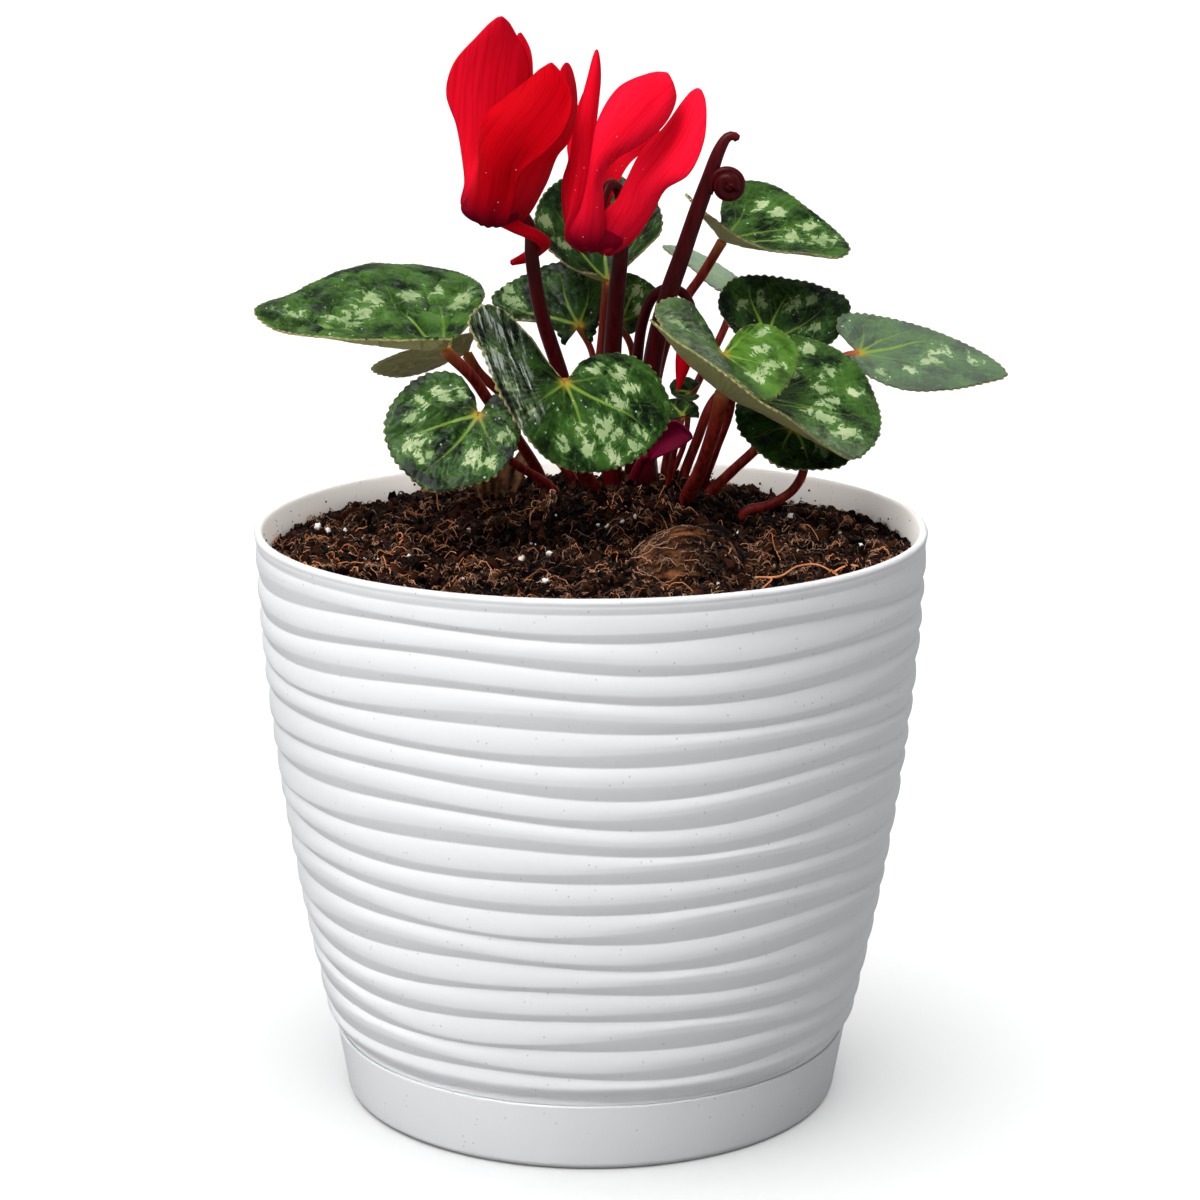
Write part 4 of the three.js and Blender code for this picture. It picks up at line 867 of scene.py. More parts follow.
def leaf_axes(leaf):
    """Where the stalk meets the leaf, and the ways forward along its midrib, to its left and up."""
    heading, pitch, roll = (math.radians(leaf[key]) for key in ("heading", "pitch", "roll"))
    ahead = np.array([math.cos(heading), math.sin(heading), 0.0])
    aside = np.array([-math.sin(heading), math.cos(heading), 0.0])
    forward = ahead * math.cos(pitch) + (0, 0, math.sin(pitch))
    left = aside * math.cos(roll) + np.cross(forward, aside) * math.sin(roll)
    return np.array(leaf["at"], float), forward, left, np.cross(forward, left)


def leaf_edge(leaf, random):
    """The blade's toothed outline in its own plane: points, their angles and reach, and the teeth."""
    angle, length, lift = np.array(leaf["edge"], float).T
    angle = np.radians(angle)
    ends = np.stack([length * np.cos(angle), length * np.sin(angle), lift], 1)
    length = np.linalg.norm(np.diff(even_spline(ends, 200), axis=0), axis=1).sum()
    teeth = max(6, int(length / TOOTH_PITCH))
    edge = even_spline(ends, teeth * len(TOOTH_STEPS) + 1)
    height = TOOTH_HEIGHT * (0.45 + 0.8 * random.random(teeth))
    if length < 40:
        height *= 0.4
    tooth = np.append((height[:, None] * TOOTH_STEPS).ravel(), 0.0)
    edge[:, :2] *= (1 + tooth / np.hypot(edge[:, 0], edge[:, 1]))[:, None]
    turn = np.unwrap(np.arctan2(edge[:, 1], edge[:, 0]))
    turn += round((angle[0] - turn[0]) / (2 * np.pi)) * 2 * np.pi
    return edge, turn, np.hypot(edge[:, 0], edge[:, 1]), tooth


def leaf_veins(leaf, turn, share, flat):
    """How strong the veins are at each point, and how far the nearest main vein is."""
    vein = np.zeros(flat.shape)
    from_main = np.full(flat.shape, 99.0)
    for position, angle in enumerate(np.radians(leaf["veins"])):
        bend = 0.17 * np.sin(share * 3.4 + 2.3 * position) * share
        away = np.abs(turn - angle - bend) * flat
        from_main = np.minimum(from_main, away)
        bold = max(0.35, 1 - 0.16 * position)
        fade = 1 - 0.92 * share ** (2.3 * bold)
        vein = np.maximum(vein, bold * np.exp(-(away / (0.56 - 0.4 * share)) ** 2) * fade)
        for first, hand in SIDE_VEINS:
            spread = hand * 0.37 * np.clip((share - first) / (1 - first), 0, 1) ** 0.8
            line = np.abs(turn - angle - bend - spread) * flat
            on = smooth(share, first, first + 0.04) * (1 - smooth(share, 0.84, 1.0))
            vein = np.maximum(vein, 0.36 * np.exp(-(line / 0.2) ** 2) * on)
            from_main = np.minimum(from_main, line + 0.9)
    return vein, from_main


def leaf_lift(leaf, index, x, y, edge_lift, share, from_main, small):
    """How far the blade stands out of its plane: it bulges between its veins and waves slowly."""
    spot = np.stack([x, y, np.full(x.shape, 7.0 * index)], -1)
    inner = smooth(share, 0.05, 0.3) * (1 - smooth(share, 0.86, 1.0))
    blister, pitch = leaf.get("blisters", (0.18, 3.6))
    quilt = np.clip(cells(x + 0.8 * rough(spot, 5, 7, 2), y, pitch, index) / (0.35 * pitch), 0, 1)
    pucker = leaf.get("pucker", 0.8) * (0.15 if small else 1.0)
    lift = edge_lift * share ** 1.5
    lift = lift + pucker * 0.75 * (1 - np.exp(-(from_main / 3.0) ** 2)) * inner
    lift = lift + blister * smooth(quilt, 0, 1) * inner
    lift = lift + pucker * 0.9 * rough(spot, 13, 3, 2) * smooth(share, 0.1, 0.5) * (1 - 0.7 * share ** 4)
    return lift + pucker * 0.35 * rough(spot, 6, 5, 2) * share ** 4


def leaf_folds_and_painted_sheen(leaf, index, x, y, edge, turn, share, flat):
    """A folded stretch: where it is, which also places its painted grey reflection and painted strokes, how
    far it lifts, and the run of the strokes on it.
    """
    first, last, start, height = leaf["folds_and_painted_sheen"]
    ends = [edge[np.abs(turn - math.radians(angle)).argmin(), :2] for angle in (first, last)]
    way = unit(ends[1] - ends[0])
    way = way * math.cos(STROKE_TURN) + np.array([-way[1], way[0]]) * math.sin(STROKE_TURN)
    middle, half = math.radians((first + last) / 2), math.radians((last - first) / 2)
    painted_sheen_window = smooth(half - np.abs(turn - middle), 0, 0.35) * smooth(share, start, start + 0.2)
    crease = rough(np.stack([flat * 0.9, turn * 2.0 + 0 * share, 0 * flat + index], -1), 1.0, 9, 2)
    lift = painted_sheen_window * height * crease * (1 - share ** 8)
    return painted_sheen_window, lift, x * way[0] + y * way[1], y * way[0] - x * way[1]


def leaf_marble(leaf, edge, turn, x, y):
    """The pale patches: 1.2 in the middle of each, and 0 away from them."""
    marble = np.zeros(x.shape)
    for angle, at_share, radius in leaf["patches"]:
        angle = math.radians(angle)
        px, py = edge[np.abs(turn - angle).argmin(), :2] * at_share
        along = (x - px) * math.cos(angle) + (y - py) * math.sin(angle)
        side = (y - py) * math.cos(angle) - (x - px) * math.sin(angle)
        marble = np.maximum(marble, 1.2 - np.hypot(along / 1.5, side) / (0.8 * radius))
    return np.clip(marble, 0, 1.2)


def add_leaf_drops(drops, random, count, grid, normal):
    """Drops of water, flattened on the leaf's upper side."""
    for _ in range(count):
        i, j = random.integers(4, len(grid) - 4), random.integers(8, grid.shape[1] - 2)
        size = 0.13 + 0.2 * random.random() ** 2.5
        points, triangles = ball((0, 0, 0), (size, size, size * 0.6), 8, 5)
        axis = normal[i, j]
        side = unit(np.cross(axis, [0.2, 0.9, 0.1]))
        basis = np.stack([side, np.cross(axis, side), axis])
        drops.add(points @ basis + grid[i, j] + axis * (BLADE_THICKNESS / 2), triangles)


def make_leaf(name, leaf, index, drops):
    """A leaf's blade, with its teeth, veins, folded stretches and marbling, and on some a painted grey
    reflection and painted highlight.
    """
    random = np.random.default_rng(100 + index)
    origin, forward, left, up = leaf_axes(leaf)
    edge, turn, reach, tooth = leaf_edge(leaf, random)
    turn, reach, tooth = turn[:, None], reach[:, None], tooth[:, None]
    share = np.linspace(0.008, 1, BLADE_RINGS)[None, :]
    x, y = edge[:, 0, None] * share, edge[:, 1, None] * share
    flat = reach * share
    small = reach.max() < 9
    vein, from_main = leaf_veins(leaf, turn, share, flat)
    lift = leaf_lift(leaf, index, x, y, edge[:, 2, None], share, from_main, small)
    sheen, forth, inward, glow = (np.zeros(flat.shape) for _ in range(4))
    # Folded stretches lift the blade and also mark where the painted grey reflection goes.
    if "folds_and_painted_sheen" in leaf:
        sheen, fold, forth, inward = leaf_folds_and_painted_sheen(leaf, index, x, y, edge, turn, share, flat)
        lift = lift + fold
    # Where the painted yellow-green highlight goes.
    if "glow" in leaf:
        first, last = np.radians(leaf["glow"])
        glow = glow + smooth(turn, first, first + 0.3) * (1 - smooth(turn, last - 0.3, last))
    values = dict(
        vein=vein, marble=leaf_marble(leaf, edge, turn[:, 0], x, y),
        rim=np.exp(-((1 - share) * reach) / 0.3) * np.clip(tooth / TOOTH_HEIGHT, 0, 1),
        base=np.exp(-(flat / (0.6 if small else 1.3)) ** 2),
        sheen=sheen, glow=glow, forth=forth, inward=inward,
        across=turn * (4 + 0.5 * flat) + 40 * index, along=flat)
    grid = origin + x[..., None] * forward + y[..., None] * left + lift[..., None] * up
    normal = grid_normal(grid)
    if (normal * up).sum(-1).mean() < 0:
        grid, normal = grid[::-1], -normal[::-1]
        values = {key: value[::-1] for key, value in values.items()}
    shell = Shell()
    sheet_shell(shell, grid, normal, BLADE_THICKNESS, **values)
    looks = {key: leaf[key] for key in ("tint", "pale", "grey", "painted_strokes") if key in leaf}
    shell.make("blade_" + name, leaf_material(name, **looks), "leaf", name)
    add_leaf_drops(drops, random, int(leaf.get("dew", 0.02) * len(edge)), grid, normal)


def make_petiole(name, leaf, material, node):
    """A leaf's stalk, a little thicker at both ends."""
    origin, _, _, up = leaf_axes(leaf)
    x, y, z = leaf["stalk"]["foot"]
    path = even_spline([tuple(origin - 0.6 * up), *leaf["stalk"]["via"], (x, y, z), (x, y, z - 7)], 70)
    run = run_along(path)
    top = np.exp(-run / 2.2)
    swell = 0.12 * smooth(run, run[-1] - 20, run[-1])
    radius = leaf["stalk"]["radius"] * (1 + 0.1 * top + 0.06 * rough(path, 14, len(name), 2) + swell)
    make_piece("stalk_" + node, tube(path, radius), material, "leaf_stalk", node, top=per_ring(top, 14))


# ---------------------------------------------------------------- blooms and flower stalks


def petal_grid(petal, rows=90, columns=34):
    """A petal between its two edges, rounded off at its tip; its faces look along -Y."""
    shares = np.append(np.linspace(0, PETAL_TIP, rows - 14, endpoint=False), np.linspace(PETAL_TIP, 1, 14))
    left, right = spline(petal["left"], shares), spline(petal["right"], shares)
    middle, half = (left + right) / 2, (right - left) / 2
    tip = np.clip((shares - PETAL_TIP) / (1 - PETAL_TIP), 0, 1)
    half = half * 1.04 * np.sqrt(1 - 0.98 * tip ** 2)[:, None]
    u = np.linspace(-1, 1, columns)
    flat = middle[:, None] + half[:, None] * u[None, :, None]
    normal = grid_normal(flat)
    if normal[..., 1].mean() > 0:
        normal = -normal
    swell = np.sin(np.pi * np.clip(shares * 0.95 + 0.05, 0, 1)) ** 0.6
    out = petal["bulge"] * (1 - u[None, :] ** 2) * swell[:, None]
    curl_left, curl_right = petal["curl"]
    curl = curl_left * np.clip(-u, 0, 1) ** 5 + curl_right * np.clip(u, 0, 1) ** 5
    out = out - curl[None] * swell[:, None]
    out = out + 0.2 * np.cos(u * 8)[None] * np.exp(-(shares / 0.25) ** 2)[:, None]
    out = out + 0.3 * rough(flat, 14, 2, 1) * smooth(shares, 0.1, 0.5)[:, None]
    return flat + normal * out[..., None], u, shares


def make_bloom(name, bloom, material, drops):
    """A bloom: its petals, its nose, and the twist that hangs from the left one."""
    shell = Shell()
    random = np.random.default_rng(len(bloom["petals"]))
    bottom = np.array(bloom["nose"]) - (0, 0, bloom["size"][2] * 0.95)
    for number, petal in enumerate(bloom["petals"]):
        tucked = dict(petal)
        for edge in ("left", "right"):
            inner = bottom + (np.array(petal[edge][0], float) - bottom) * (0.45, 0.5, 0.12)
            tucked[edge] = [tuple(inner), *petal[edge]]
        grid, u, shares = petal_grid(tucked)
        width = np.linalg.norm(grid[:, -1] - grid[:, 0], axis=1)
        along = np.repeat(shares[:, None] * 45, len(u), 1)
        dark = np.repeat(np.exp(-(shares / 0.25) ** 2)[:, None], len(u), 1)
        sheet_shell(shell, grid, grid_normal(grid), PETAL_THICKNESS, along=along, nose=dark,
                    across=u[None, :] * width[:, None] * 0.5 + 31 * number,
                    tone=np.full(dark.shape, petal.get("tone", 0.5)))
        for _ in range(4):
            i, j = random.integers(6, 50), random.integers(4, len(u) - 4)
            drops.add(*ball(grid[i, j] - (0, 0.3, 0), 0.08 + 0.08 * random.random(), 8, 5))
    add_nose(shell, bloom)
    if name == "bloom_1":
        radius = np.interp(np.linspace(0, 1, 60), *np.transpose(TWIST_RADIUS))
        shell.add(*tube(even_spline(TWIST, 60), radius), across=0.0, along=0.0, nose=0.2, side=1.0, tone=0.3)
    shell.make("petals_" + name, material, "petal", name)


def add_nose(shell, bloom):
    """The blunt five-sided nose under the petals."""
    size = bloom["size"]
    height = size[2] * 1.7
    points, triangles = ball((0, 0, 0), size, 48, 28)
    points[:, 2] = np.where(points[:, 2] > 0, points[:, 2] * 1.7, points[:, 2])
    points[:, :2] *= (1 - 0.30 * smooth(points[:, 2], 0, height))[:, None]
    turn = np.arctan2(points[:, 1], points[:, 0])
    points[:, :2] *= (0.93 + 0.045 * np.cos(5 * turn + 1))[:, None]
    x, y, z = points.T
    cos, sin = math.cos(math.radians(bloom["tilt"])), math.sin(math.radians(bloom["tilt"]))
    turned = np.stack([x * cos + z * sin, y, z * cos - x * sin], 1)
    shell.add(turned + bloom["nose"], triangles, across=turn * size[0] * 0.5, along=z,
              nose=0.9 - 0.4 * smooth(z, 0, height), side=1.0, tone=0.3)


def make_stalk(node, points, material):
    """A flower stalk, with the spent flower's coil on the bare one."""
    path = even_spline(points, 110)
    radius = path[:, 3] * (1 + 0.035 * rough(path[:, :3], 12, 4, 2))
    shell = Shell()
    shell.add(*tube(path[:, :3], radius, 20), top=per_ring(np.exp(-run_along(path) / 4), 20))
    if node == "bare_stalk":
        coil(shell)
    shell.make("stem_" + node, material, "flower_stalk", node)


def coil(shell):
    """The spent flower's tip: a tube that thickens as it coils inward round a small knob."""
    turns = np.linspace(0, 1, 120)
    angle = math.radians(COIL["start"]) - turns * COIL["turns"] * 2 * np.pi
    radius = COIL["outer"] + (COIL["inner"] - COIL["outer"]) * turns ** 0.8
    x, y, z = COIL["centre"]
    path = np.stack([x + radius * np.cos(angle), y - 0.4 - 1.1 * turns, z + radius * np.sin(angle)], 1)
    lead = even_spline([(x - 7.4, y + 0.8, z - 4.2), (x - 6.2, y + 0.3, z - 1.0), tuple(path[0])], 14)[:-1]
    path = np.vstack([lead, path])
    thick = np.interp(np.arange(len(path)), [0, 40, len(path) - 1], [0.9, *COIL["tube"]])
    shell.add(*tube(path, thick), top=0.0)
    shell.add(*ball((x, y - 1.2, z), (1.7, 1.7, 1.7)), top=0.0)


def make_bud(material):
    """The drooping bud."""
    share = np.linspace(0, 1, 40)
    path = between(np.array([BUD["top"], BUD["tip"]]), share[:, None])
    radius = BUD["radius"] * np.sin(np.pi * np.clip(share * 0.9 + 0.08, 0, 1)) ** 0.7
    make_piece("red_bud", tube(path, radius * (1 - 0.45 * share ** 2), 20), material, "bud", "bud",
               across=0.0, along=0.0, nose=0.3, side=1.0, tone=0.2)


def make_young_leaf(material):
    """The folded young leaf and its stalk."""
    shell = Shell()
    grid, _, _ = petal_grid(YOUNG_LEAF, 50, 24)
    sheet_shell(shell, grid, grid_normal(grid), BLADE_THICKNESS, top=np.ones(grid.shape[:2]))
    path = even_spline(YOUNG_STALK, 40)
    shell.add(*tube(path[:, :3], path[:, 3]), top=0.2, side=1.0)
    shell.make("folded_young_leaf", material, "young_leaf", "young_leaf")


# ---------------------------------------------------------------- soil


def soil_height(x, y):
    """The soil as a plain heap, highest round the plant and rising a little to the front."""
    away = np.hypot((x - CROWN[0]) * 0.8, y - CROWN[1]) / HEAP_RADIUS
    return SOIL_EDGE + SOIL_RISE * np.exp(-2.2 * away * away) + 2.6 * np.clip(-y / RIM_RADIUS, 0, None)


def soil_base(x, y):
    """The soil without its lumps; it is lower along the back wall."""
    deep = (1.8 + 2.2 * smooth(x, 10, 50)) * (1 - 0.45 * smooth(x, 52, 72))
    scooped = deep * smooth(np.hypot(x, y), 46, 74) * smooth(y, -30, 22)
    return soil_height(x, y) - scooped - 0.4


def lumps(x, y):
    """How far the soil's top stands above or below its plain form."""
    spot = level(x, y)
    large = 1.6 * rough(spot, 12, 21, 3) + 2.3 * rough(spot, 4.5, 22, 3)
    return large + 0.7 * np.abs(rough(spot, 1.4, 23, 2))


def soil_relief(x, y):
    """The height of the soil's lumpy top."""
    return soil_base(x, y) + lumps(x, y)


def painted_shade_height(x, y):
    """How high a place stands among the lumps; loose matter is painted lighter on the tops and darker in the
    hollows, as painted light and shade.
    """
    return lumps(x, y) - 0.6


def ground(x, y):
    """What loose matter lies on: the soil, or the tuber where the soil has spread over it."""
    over = [(c - m) / h for c, m, h in zip((x, y), TUBER["at"], TUBER["size"])]
    dome = TUBER["at"][2] + TUBER["size"][2] * np.sqrt(np.clip(1 - over[0] ** 2 - over[1] ** 2, 0, 1)) - 0.4
    spread = smooth(over[0] - 0.5 * over[1] + 0.35 * rough(level(x, y), 5, 61, 2), 0.0, 0.5)
    inside = over[0] ** 2 + over[1] ** 2 < 1
    return np.maximum(soil_relief(x, y), np.where(inside & (spread > 0.5), dome, 0))


def drawn_in(x, y, gap):
    """By how much to shrink x and y so that they keep inside the pot's wall."""
    return np.minimum(1, (pot_inside(SOIL_EDGE) - gap) / np.maximum(np.hypot(x, y), 1e-6))


def tufts(x, y):
    """The share of fibres kept at each place, as they lie in patches."""
    return 0.25 + 0.75 * smooth(rough(level(x, y), 7, 62, 2), -0.3, 0.25)


def left_side(x, y):
    """The same, with more of them at the left front."""
    return tufts(x, y) * (0.3 + 0.7 * smooth(-x - 0.6 * y, 10, 80))


def make_soil(material):
    """The soil that fills the pot, with its lumpy top."""
    rows, columns = 170, 620
    edge = pot_inside(SOIL_EDGE) - 0.1
    radius = edge * np.sqrt(np.linspace(0.00002, 1, rows))[:, None]
    turn = full_turn(columns)[None]
    x, y = radius * np.cos(turn), radius * np.sin(turn)
    top = np.stack([x, y, soil_relief(x, y)], -1)[::-1]
    low = lathe([(54, 5), *((pot_inside(z) - 0.3, z) for z in (60, 110)), (edge, 126)], columns)
    solid = close_lathe(np.concatenate([low, top]))
    spot = solid[0] * [1, 1, 0.4]
    tone = 0.14 + 0.3 * rough(spot, 6, 31, 3) + 0.25 * rough(spot, 1.5, 33, 2)
    make_piece("peat", solid, material, "soil", "soil", tone=np.clip(tone, 0, 1))


def scatter(random, count):
    """Random places on the soil: x and y, evenly over the disc."""
    radius = (pot_inside(SOIL_EDGE) - 1.2) * np.sqrt(random.random(count))
    turn = random.random(count) * 2 * np.pi
    return radius * np.cos(turn), radius * np.sin(turn)


def turned_basis(random, count):
    """Three directions at right angles for each lump, turned at random."""
    a = unit(random.normal(size=(count, 3)))
    b = unit(np.cross(a, random.normal(size=(count, 3))))
    return a, b, np.cross(a, b)


def make_crumbs(random, name, count, size, squash, material, tones, sink=0.2, placed=()):
    """Loose lumps on the soil, each a small uneven ball, all in one piece."""
    base, faces = ball((0, 0, 0), (1, 1, 1), 8, 6)
    x, y = scatter(random, count)
    scale = between(size, random.random(count) ** 2.2)
    if placed:
        away = np.hypot((x - TUBER["at"][0]) / TUBER["size"][0], (y - TUBER["at"][1]) / TUBER["size"][1])
        x, y, scale = (np.append(a[away > 1.1], b) for a, b in zip((x, y, scale), np.transpose(placed)))
        count = len(x)
    a, b, c = (axis[:, None] for axis in turned_basis(random, count))
    middle = np.stack([x, y, ground(x, y) + scale * squash * sink + (0.45 if placed else 0)], -1)
    bumps = 1 + 0.28 * random.normal(size=(count, len(base)))
    u, v, w = np.split(base[None] * bumps[..., None], 3, -1)
    points = middle[:, None] + scale[:, None, None] * (u * a + v * b * 0.8 + w * c * squash)
    points[..., :2] *= drawn_in(points[..., 0], points[..., 1], 0.15)[..., None]
    triangles = (faces[None] + np.arange(count)[:, None, None] * len(base)).reshape(-1, 3)
    # Painted shade: lighter on top of the lumps, darker in the hollows.
    tone = between(tones, random.random(count)) + 0.12 * painted_shade_height(x, y)
    make_piece(name, (points, triangles), material, "soil", tone=np.repeat(tone, len(base)))


def make_wall_specks(random, material):
    """Crumbs of soil that stick to the pot's inner face above the soil."""
    shell = Shell()
    for _ in range(90):
        turn, z = random.uniform(0, 2 * np.pi), 134.5 + 4.2 * random.random() ** 1.6
        radius = np.interp(z, (132, 135.2, 137.2, 138.6), (76.5, 76.9, 77.4, 77.85)) - 0.03
        place = (radius * np.cos(turn), radius * np.sin(turn), z)
        shell.add(*ball(place, 0.1 + 0.28 * random.random() ** 3, 6, 4), tone=random.random())
    shell.make("wall_specks", material, "soil")


def many_tubes(paths, radii):
    """Points and triangles of many thin tubes; paths is (tubes, points, 3)."""
    count, steps = paths.shape[:2]
    sides = FIBRE_SIDES
    along = unit(np.gradient(paths, axis=1))
    side = unit(np.cross(along, [0.31, 0.52, 0.79]))
    other = np.cross(along, side)
    turn = full_turn(sides)
    rings = paths[:, :, None] + radii[:, :, None, None] * (
        np.cos(turn)[:, None] * side[:, :, None] + np.sin(turn)[:, None] * other[:, :, None])
    faces = grid_triangles(steps, sides, wrap=True)
    fan = [(0, k, k + 1) for k in range(1, sides - 1)]
    last = (steps - 1) * sides
    ends = [(a, c, b) for a, b, c in fan] + [(last + a, last + b, last + c) for a, b, c in fan]
    faces = np.concatenate([faces, ends])[None] + np.arange(count)[:, None, None] * steps * sides
    return rings.reshape(-1, 3), faces.reshape(-1, 3)


def make_fibres(random, name, count, length, thickness, lift, curl, material, tones, weight=None):
    """Roots and fibres that curl over the soil, all in one piece."""
    steps = FIBRE_STEPS
    x, y = scatter(random, count * 3)
    if weight is not None:
        keep = random.random(len(x)) < weight(x, y)
        x, y = x[keep], y[keep]
    x, y = x[:count], y[:count]
    count = len(x)
    reach = between(length, random.random((count, 1)) ** 2)
    bend = random.normal(0, curl, (count, steps)).cumsum(1)
    bend = bend + random.normal(0, curl * 0.5, (count, 1)) * np.arange(steps)
    heading = random.random((count, 1)) * 2 * np.pi + bend
    px = x[:, None] + np.cumsum(np.cos(heading), 1) * reach / steps
    py = y[:, None] + np.cumsum(np.sin(heading), 1) * reach / steps
    inward = drawn_in(px, py, 0.4)
    px, py = px * inward, py * inward
    arch = np.sin(np.linspace(-0.15, 1.1, steps) * np.pi)[None] * lift * random.random((count, 1)) * 1.7
    wobble = random.normal(0, 0.09, (count, steps)).cumsum(1)
    paths = np.stack([px, py, ground(px, py) + 0.15 + arch + wobble], -1)
    radii = between(thickness, random.random((count, 1)) ** 2) * np.linspace(1, 0.5, steps)
    # Painted shade: lighter on top of the lumps, darker in the hollows.
    tone = between(tones, random.random(count) ** 1.5) + 0.2 * painted_shade_height(x, y)
    make_piece(name, many_tubes(paths, radii), material, "soil", tone=np.repeat(tone, steps * FIBRE_SIDES))


def make_tuber(material):
    """The old tuber: a rough lump half under the soil."""
    size = np.array(TUBER["size"])
    points, triangles = ball((0, 0, 0), (1, 1, 1), 140, 90)
    lobe = np.exp(-((points - (0.55, 0.62, 0.55)) ** 2).sum(1) / 0.14)
    body = points * size * (1 + 0.22 * lobe)[:, None]
    bump = 1 + 0.16 * rough(body, 10, 41, 4) + 0.09 * rough(body * [0.5, 1.6, 1.6], 2.4, 42, 3)
    tone = 0.42 + 0.6 * rough(body * [0.5, 2.2, 2.2], 3, 43, 3)
    # Painted shade: the tuber is darker toward its right side.
    tone = tone - 0.5 * smooth(body[:, 0], -0.3 * size[0], 0.8 * size[0])
    solid = (body * bump[:, None] + TUBER["at"], triangles)
    make_piece("old_tuber", solid, material, "tuber", "tuber", tone=np.clip(tone, 0, 1))


def make_strands(material):
    """The strands that run over the tuber from left to right."""
    size = np.array(TUBER["size"])
    random = np.random.default_rng(77)
    steps = 16
    shell = Shell()
    for _ in range(STRANDS):
        turn, tilt = random.uniform(-1.35, 1.35), random.uniform(-0.3, 2.6)
        sway = random.normal(0, 0.05, steps).cumsum() + random.normal(0, 0.25) * np.linspace(0, 1, steps)
        across = np.clip(np.sin(turn) + np.linspace(0, random.uniform(0.2, 0.7), steps), -0.97, 0.97)
        around = np.sqrt(1 - across ** 2)
        way = np.stack([across, -around * np.cos(tilt + sway), around * np.sin(tilt + sway)], 1)
        scale = 1 + 0.16 * rough(way * size, 10, 41, 4)
        path = way * size * (scale * random.uniform(1.0, 1.06))[:, None] + TUBER["at"]
        radius = random.uniform(0.07, 0.19) * np.linspace(1, 0.6, steps)
        # Painted shade: each strand is darker where it runs over the tuber's right side.
        shade = per_ring(1 - 0.8 * smooth(across, -0.3, 0.6), 5)
        shell.add(*tube(path, radius, 5), tone=random.uniform(0.0, 0.62) * shade)
    shell.make("tuber_fibres", material, "tuber")


def make_bark(material):
    """A chip of bark: an open curl whose edge is torn."""
    rows, columns = 60, 80
    share = np.linspace(0, 1, rows)[:, None]
    turn = np.linspace(-0.5, 3.9, columns)[None]
    spot = np.stack([share * 9 + 0 * turn, turn * 2 + 0 * share, 0 * turn + 0 * share], -1)
    torn = 1 + 0.28 * rough(spot * [0, 1, 1], 1.3, 53, 3) * share
    width = 4.4 + 2.4 * share ** 1.6 + 0.7 * rough(spot, 2.5, 51, 4)
    x = width * np.cos(turn) * (1 + 0.25 * share)
    y = width * np.sin(turn) * 0.75
    z = BARK["height"] * (2.2 * share * torn - 1.0)
    grid = np.stack([x, y, z], -1) + BARK["at"]
    tone = np.clip(0.45 + 0.6 * rough(spot * [0.4, 2, 1], 1.2, 52, 3), 0, 1)
    shell = Shell()
    sheet_shell(shell, grid, grid_normal(grid), BARK_THICKNESS, tone=tone)
    shell.make("bark_curl", material, "bark", "bark_chip")


def make_root(material):
    """The pale root that lies on the soil at the right of the tuber."""
    shell = Shell()
    for points in ROOT:
        path = even_spline([(x, y, 0) for x, y in points], 40)
        path[:, 2] = soil_height(path[:, 0], path[:, 1]) + 0.9 + 1.1 * np.sin(np.linspace(0, np.pi, 40))
        shell.add(*tube(path, np.linspace(0.28, 0.16, 40), 8), tone=0.72)
    shell.make("pale_root", material, "soil")


# ---------------------------------------------------------------- making it all

plastic = plastic_material("white_plastic")
make_pot(plastic)
make_tray(plastic)

drops = Shell()
for number, (leaf_name, leaf_data) in enumerate(LEAVES.items()):
    make_leaf(leaf_name, leaf_data, number, drops)
stalk_red = stalk_material("leaf_stalk", linear(92, 16, 14), linear(156, 50, 38), linear(176, 104, 52), 0.42)
for leaf_name, leaf_data in LEAVES.items():
    make_petiole(leaf_name, leaf_data, stalk_red, leaf_name.replace("leaf", "petiole"))

petal_red = petal_material()
for bloom_name, bloom_data in BLOOMS.items():
    make_bloom(bloom_name, bloom_data, petal_red, drops)
drops.make("dew", dew_material(), "leaf")
make_bud(petal_red)

maroon = stalk_material("flower_stalk", linear(58, 3, 8), linear(88, 8, 15), linear(104, 18, 24), 0.42)
for stalk_name, stalk_points in SCAPES.items():
    make_stalk(stalk_name, stalk_points, maroon)
make_young_leaf(stalk_material("young_leaf", linear(84, 4, 24), linear(124, 10, 40), linear(112, 6, 44)))

peat = earth_material("peat", linear(2, 1, 1), linear(76, 44, 28))
fibre = earth_material("fibre", linear(12, 8, 5), linear(246, 188, 150), 1500, 0.3, 0.5)
tan = earth_material("tan_fibre", linear(24, 10, 5), linear(255, 164, 106), 1500, 0.3, 0.5)
grit = earth_material("perlite", linear(238, 231, 218), linear(255, 254, 250), 1800, 0.3)
make_soil(peat)
dice = np.random.default_rng(5)
make_crumbs(dice, "peat_crumbs", 7600, (0.3, 1.4), 0.65, peat, (0.0, 0.6))
make_crumbs(dice, "peat_flakes", 1100, (0.6, 2.2), 0.2, peat, (0.0, 0.8), 1.3)
make_crumbs(dice, "perlite_grains", 44, (0.2, 0.55), 0.85, grit, (0.5, 1.1), 1.3, PERLITE)
make_wall_specks(dice, peat)
shreds = earth_material("bark_shreds", linear(5, 3, 2), linear(112, 70, 46), 1200, 0.5, 0.5)
make_fibres(dice, "bark_shreds", 3000, (2.4, 9), (0.14, 0.4), 0.6, 0.34, shreds, (0.0, 0.75))
make_fibres(dice, "peat_fibres", 5600, (2.2, 8), (0.07, 0.18), 0.75, 0.42, fibre, (0.0, 0.7), tufts)
make_fibres(dice, "tan_fibres", 1100, (3, 11), (0.08, 0.2), 0.9, 0.28, tan, (0.3, 0.95), left_side)
make_fibres(dice, "root_ends", 80, (7, 18), (0.11, 0.2), 1.8, 0.16, tan, (0.6, 1.0), left_side)
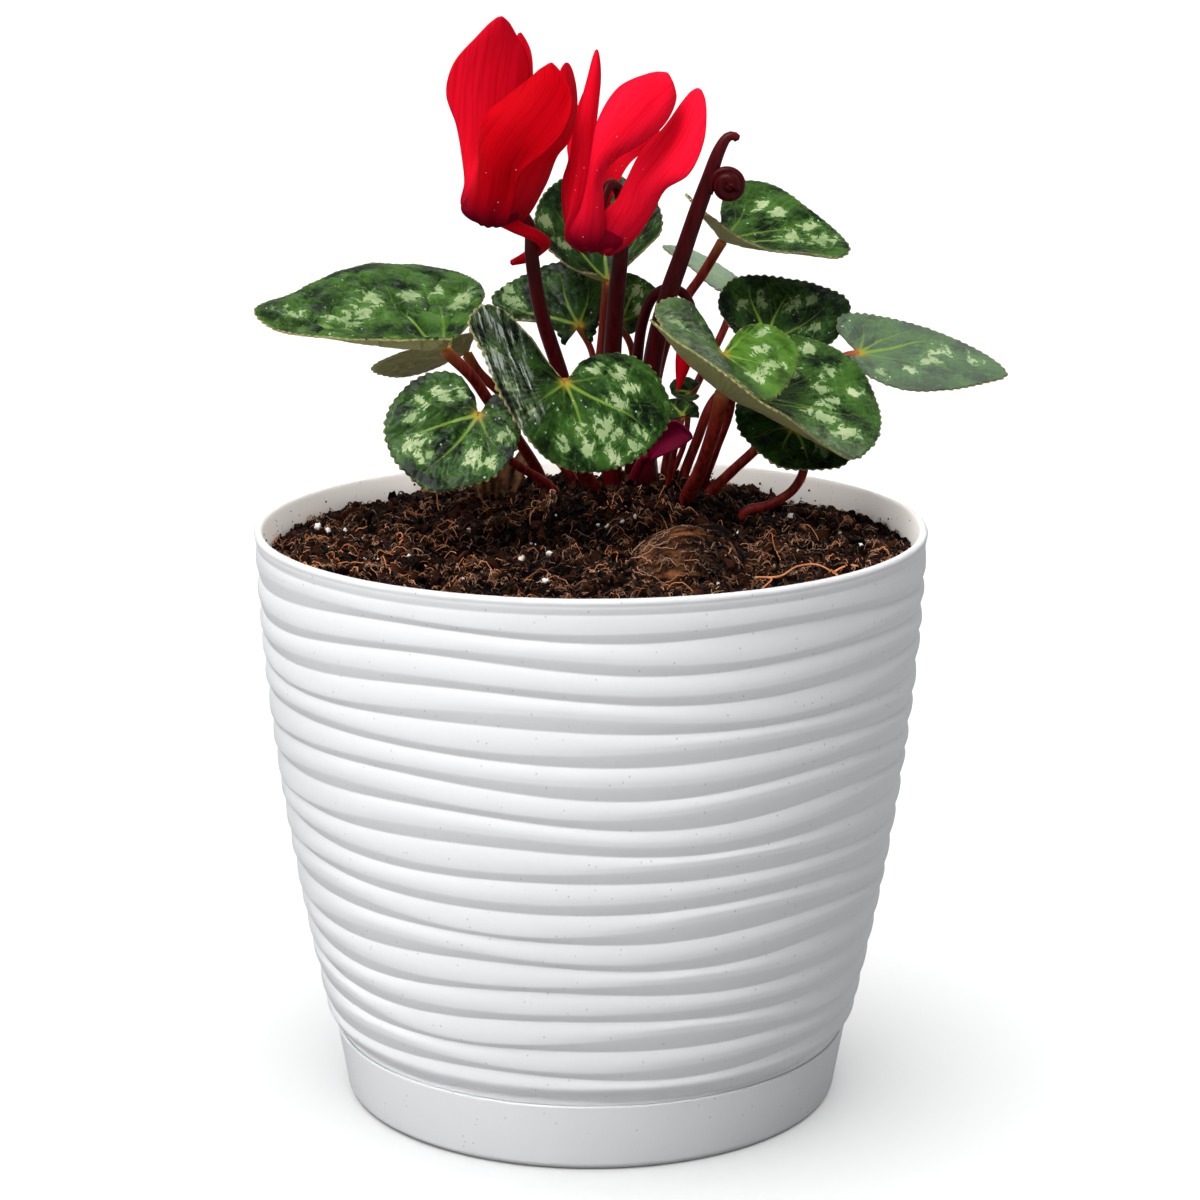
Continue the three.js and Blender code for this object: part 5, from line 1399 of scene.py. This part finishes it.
make_tuber(earth_material("tuber", linear(12, 7, 4), linear(156, 98, 60), 1200, 0.9))
make_strands(fibre)
make_bark(earth_material("bark", linear(44, 27, 18), linear(178, 128, 92), 800, 0.8))
make_root(tan)

# ---------------------------------------------------------------- floor, light and camera

floor_mesh = bpy.data.meshes.new("floor")
corners = [(x * FLOOR_REACH, y * FLOOR_REACH, 0) for x, y in ((-1, -1), (1, -1), (1, 1), (-1, 1))]
floor_mesh.from_pydata(corners, [], [(0, 1, 2, 3)])
floor = bpy.data.objects.new("floor", floor_mesh)
bpy.context.collection.objects.link(floor)
floor_nodes = Nodes("floor", Specular_IOR_Level=0.1)
white = floor_nodes.mix(floor_nodes.noise(2, 2), linear(250, 250, 250), linear(252, 252, 252))
seen = floor_nodes.node("ShaderNodeLightPath").outputs["Is Camera Ray"]
floor_mesh.materials.append(floor_nodes.finish(floor_nodes.mix(seen, linear(164, 164, 164), white), 0.9))
floor.visible_shadow = False

world = bpy.data.worlds.new("studio")
world.use_nodes = True
world.node_tree.nodes["Background"].inputs["Color"].default_value = (0.97, 0.985, 1.0, 1)
world.node_tree.nodes["Background"].inputs["Strength"].default_value = 0.32
bpy.context.scene.world = world


def sky_light(name, direction, spread, strength, receivers):
    """Soft studio light from one direction, for the given objects."""
    data = bpy.data.lights.new(name, "SUN")
    data.angle = math.radians(spread)
    data.energy = strength
    lamp = bpy.data.objects.new(name, data)
    bpy.context.collection.objects.link(lamp)
    x, y, z = unit(np.array(direction, float))
    lamp.rotation_euler = (math.acos(z), 0, math.atan2(-y, -x) - math.pi / 2)
    lit = bpy.data.collections.new(name + "_lit")
    for item in receivers:
        lit.objects.link(item)
    lamp.light_linking.receiver_collection = lit


def named(*starts):
    """The pieces whose names start so."""
    return [item for item in pieces if item.name.startswith(starts)]


pieces = [item for item in bpy.data.objects if item.type == "MESH" and item is not floor]
pot_parts = named("pot_ribbed", "saucer")
plant_parts = [item for item in pieces if item not in pot_parts]
# Each light's name, the way to it, its spread in degrees, its strength, and what it lights.
for light in (
        ("key", (-0.31, -0.48, 0.82), 36, 2.9, pieces),
        ("side_fill", (-0.9, -0.4, 0.05), 60, 0.36, pieces),
        ("back", (0.35, 0.6, 0.65), 70, 0.5, plant_parts),
        ("pot_back", (0.1, 0.75, 0.65), 60, 1.1, pot_parts),
        ("bounce", (-0.2, -0.5, -0.8), 90, 0.9, named("blade_")),
        ("floor_light", (-0.1, -0.12, 1.0), 80, 3.08, [floor]),
        ("left_bloom_fill", (-0.5, -0.7, 0.4), 40, 0.25, named("petals_bloom_1")),
        ("right_bloom_fill", (-0.2, -0.8, 0.4), 40, 0.75, named("petals_bloom_2")),
        ("inside_left", (0.75, -0.5, 0.6), 60, 2.5, named("pot_inner_face")),
        ("inside_right", (-0.75, -0.6, 0.55), 60, 2.5, named("pot_inner_face"))):
    sky_light(*light)

camera_data = bpy.data.cameras.new("camera")
camera_data.lens = 95.95
camera_data.sensor_width = 36
camera_data.shift_x = 0.0075
camera_data.clip_end = 60
camera = bpy.data.objects.new("camera", camera_data)
bpy.context.collection.objects.link(camera)
camera.location = (0, -0.746, 0.2993)
camera.rotation_euler = (math.pi / 2 - 0.23476, 0, 0)
bpy.context.scene.camera = camera
bpy.context.scene.view_settings.view_transform = "Standard"
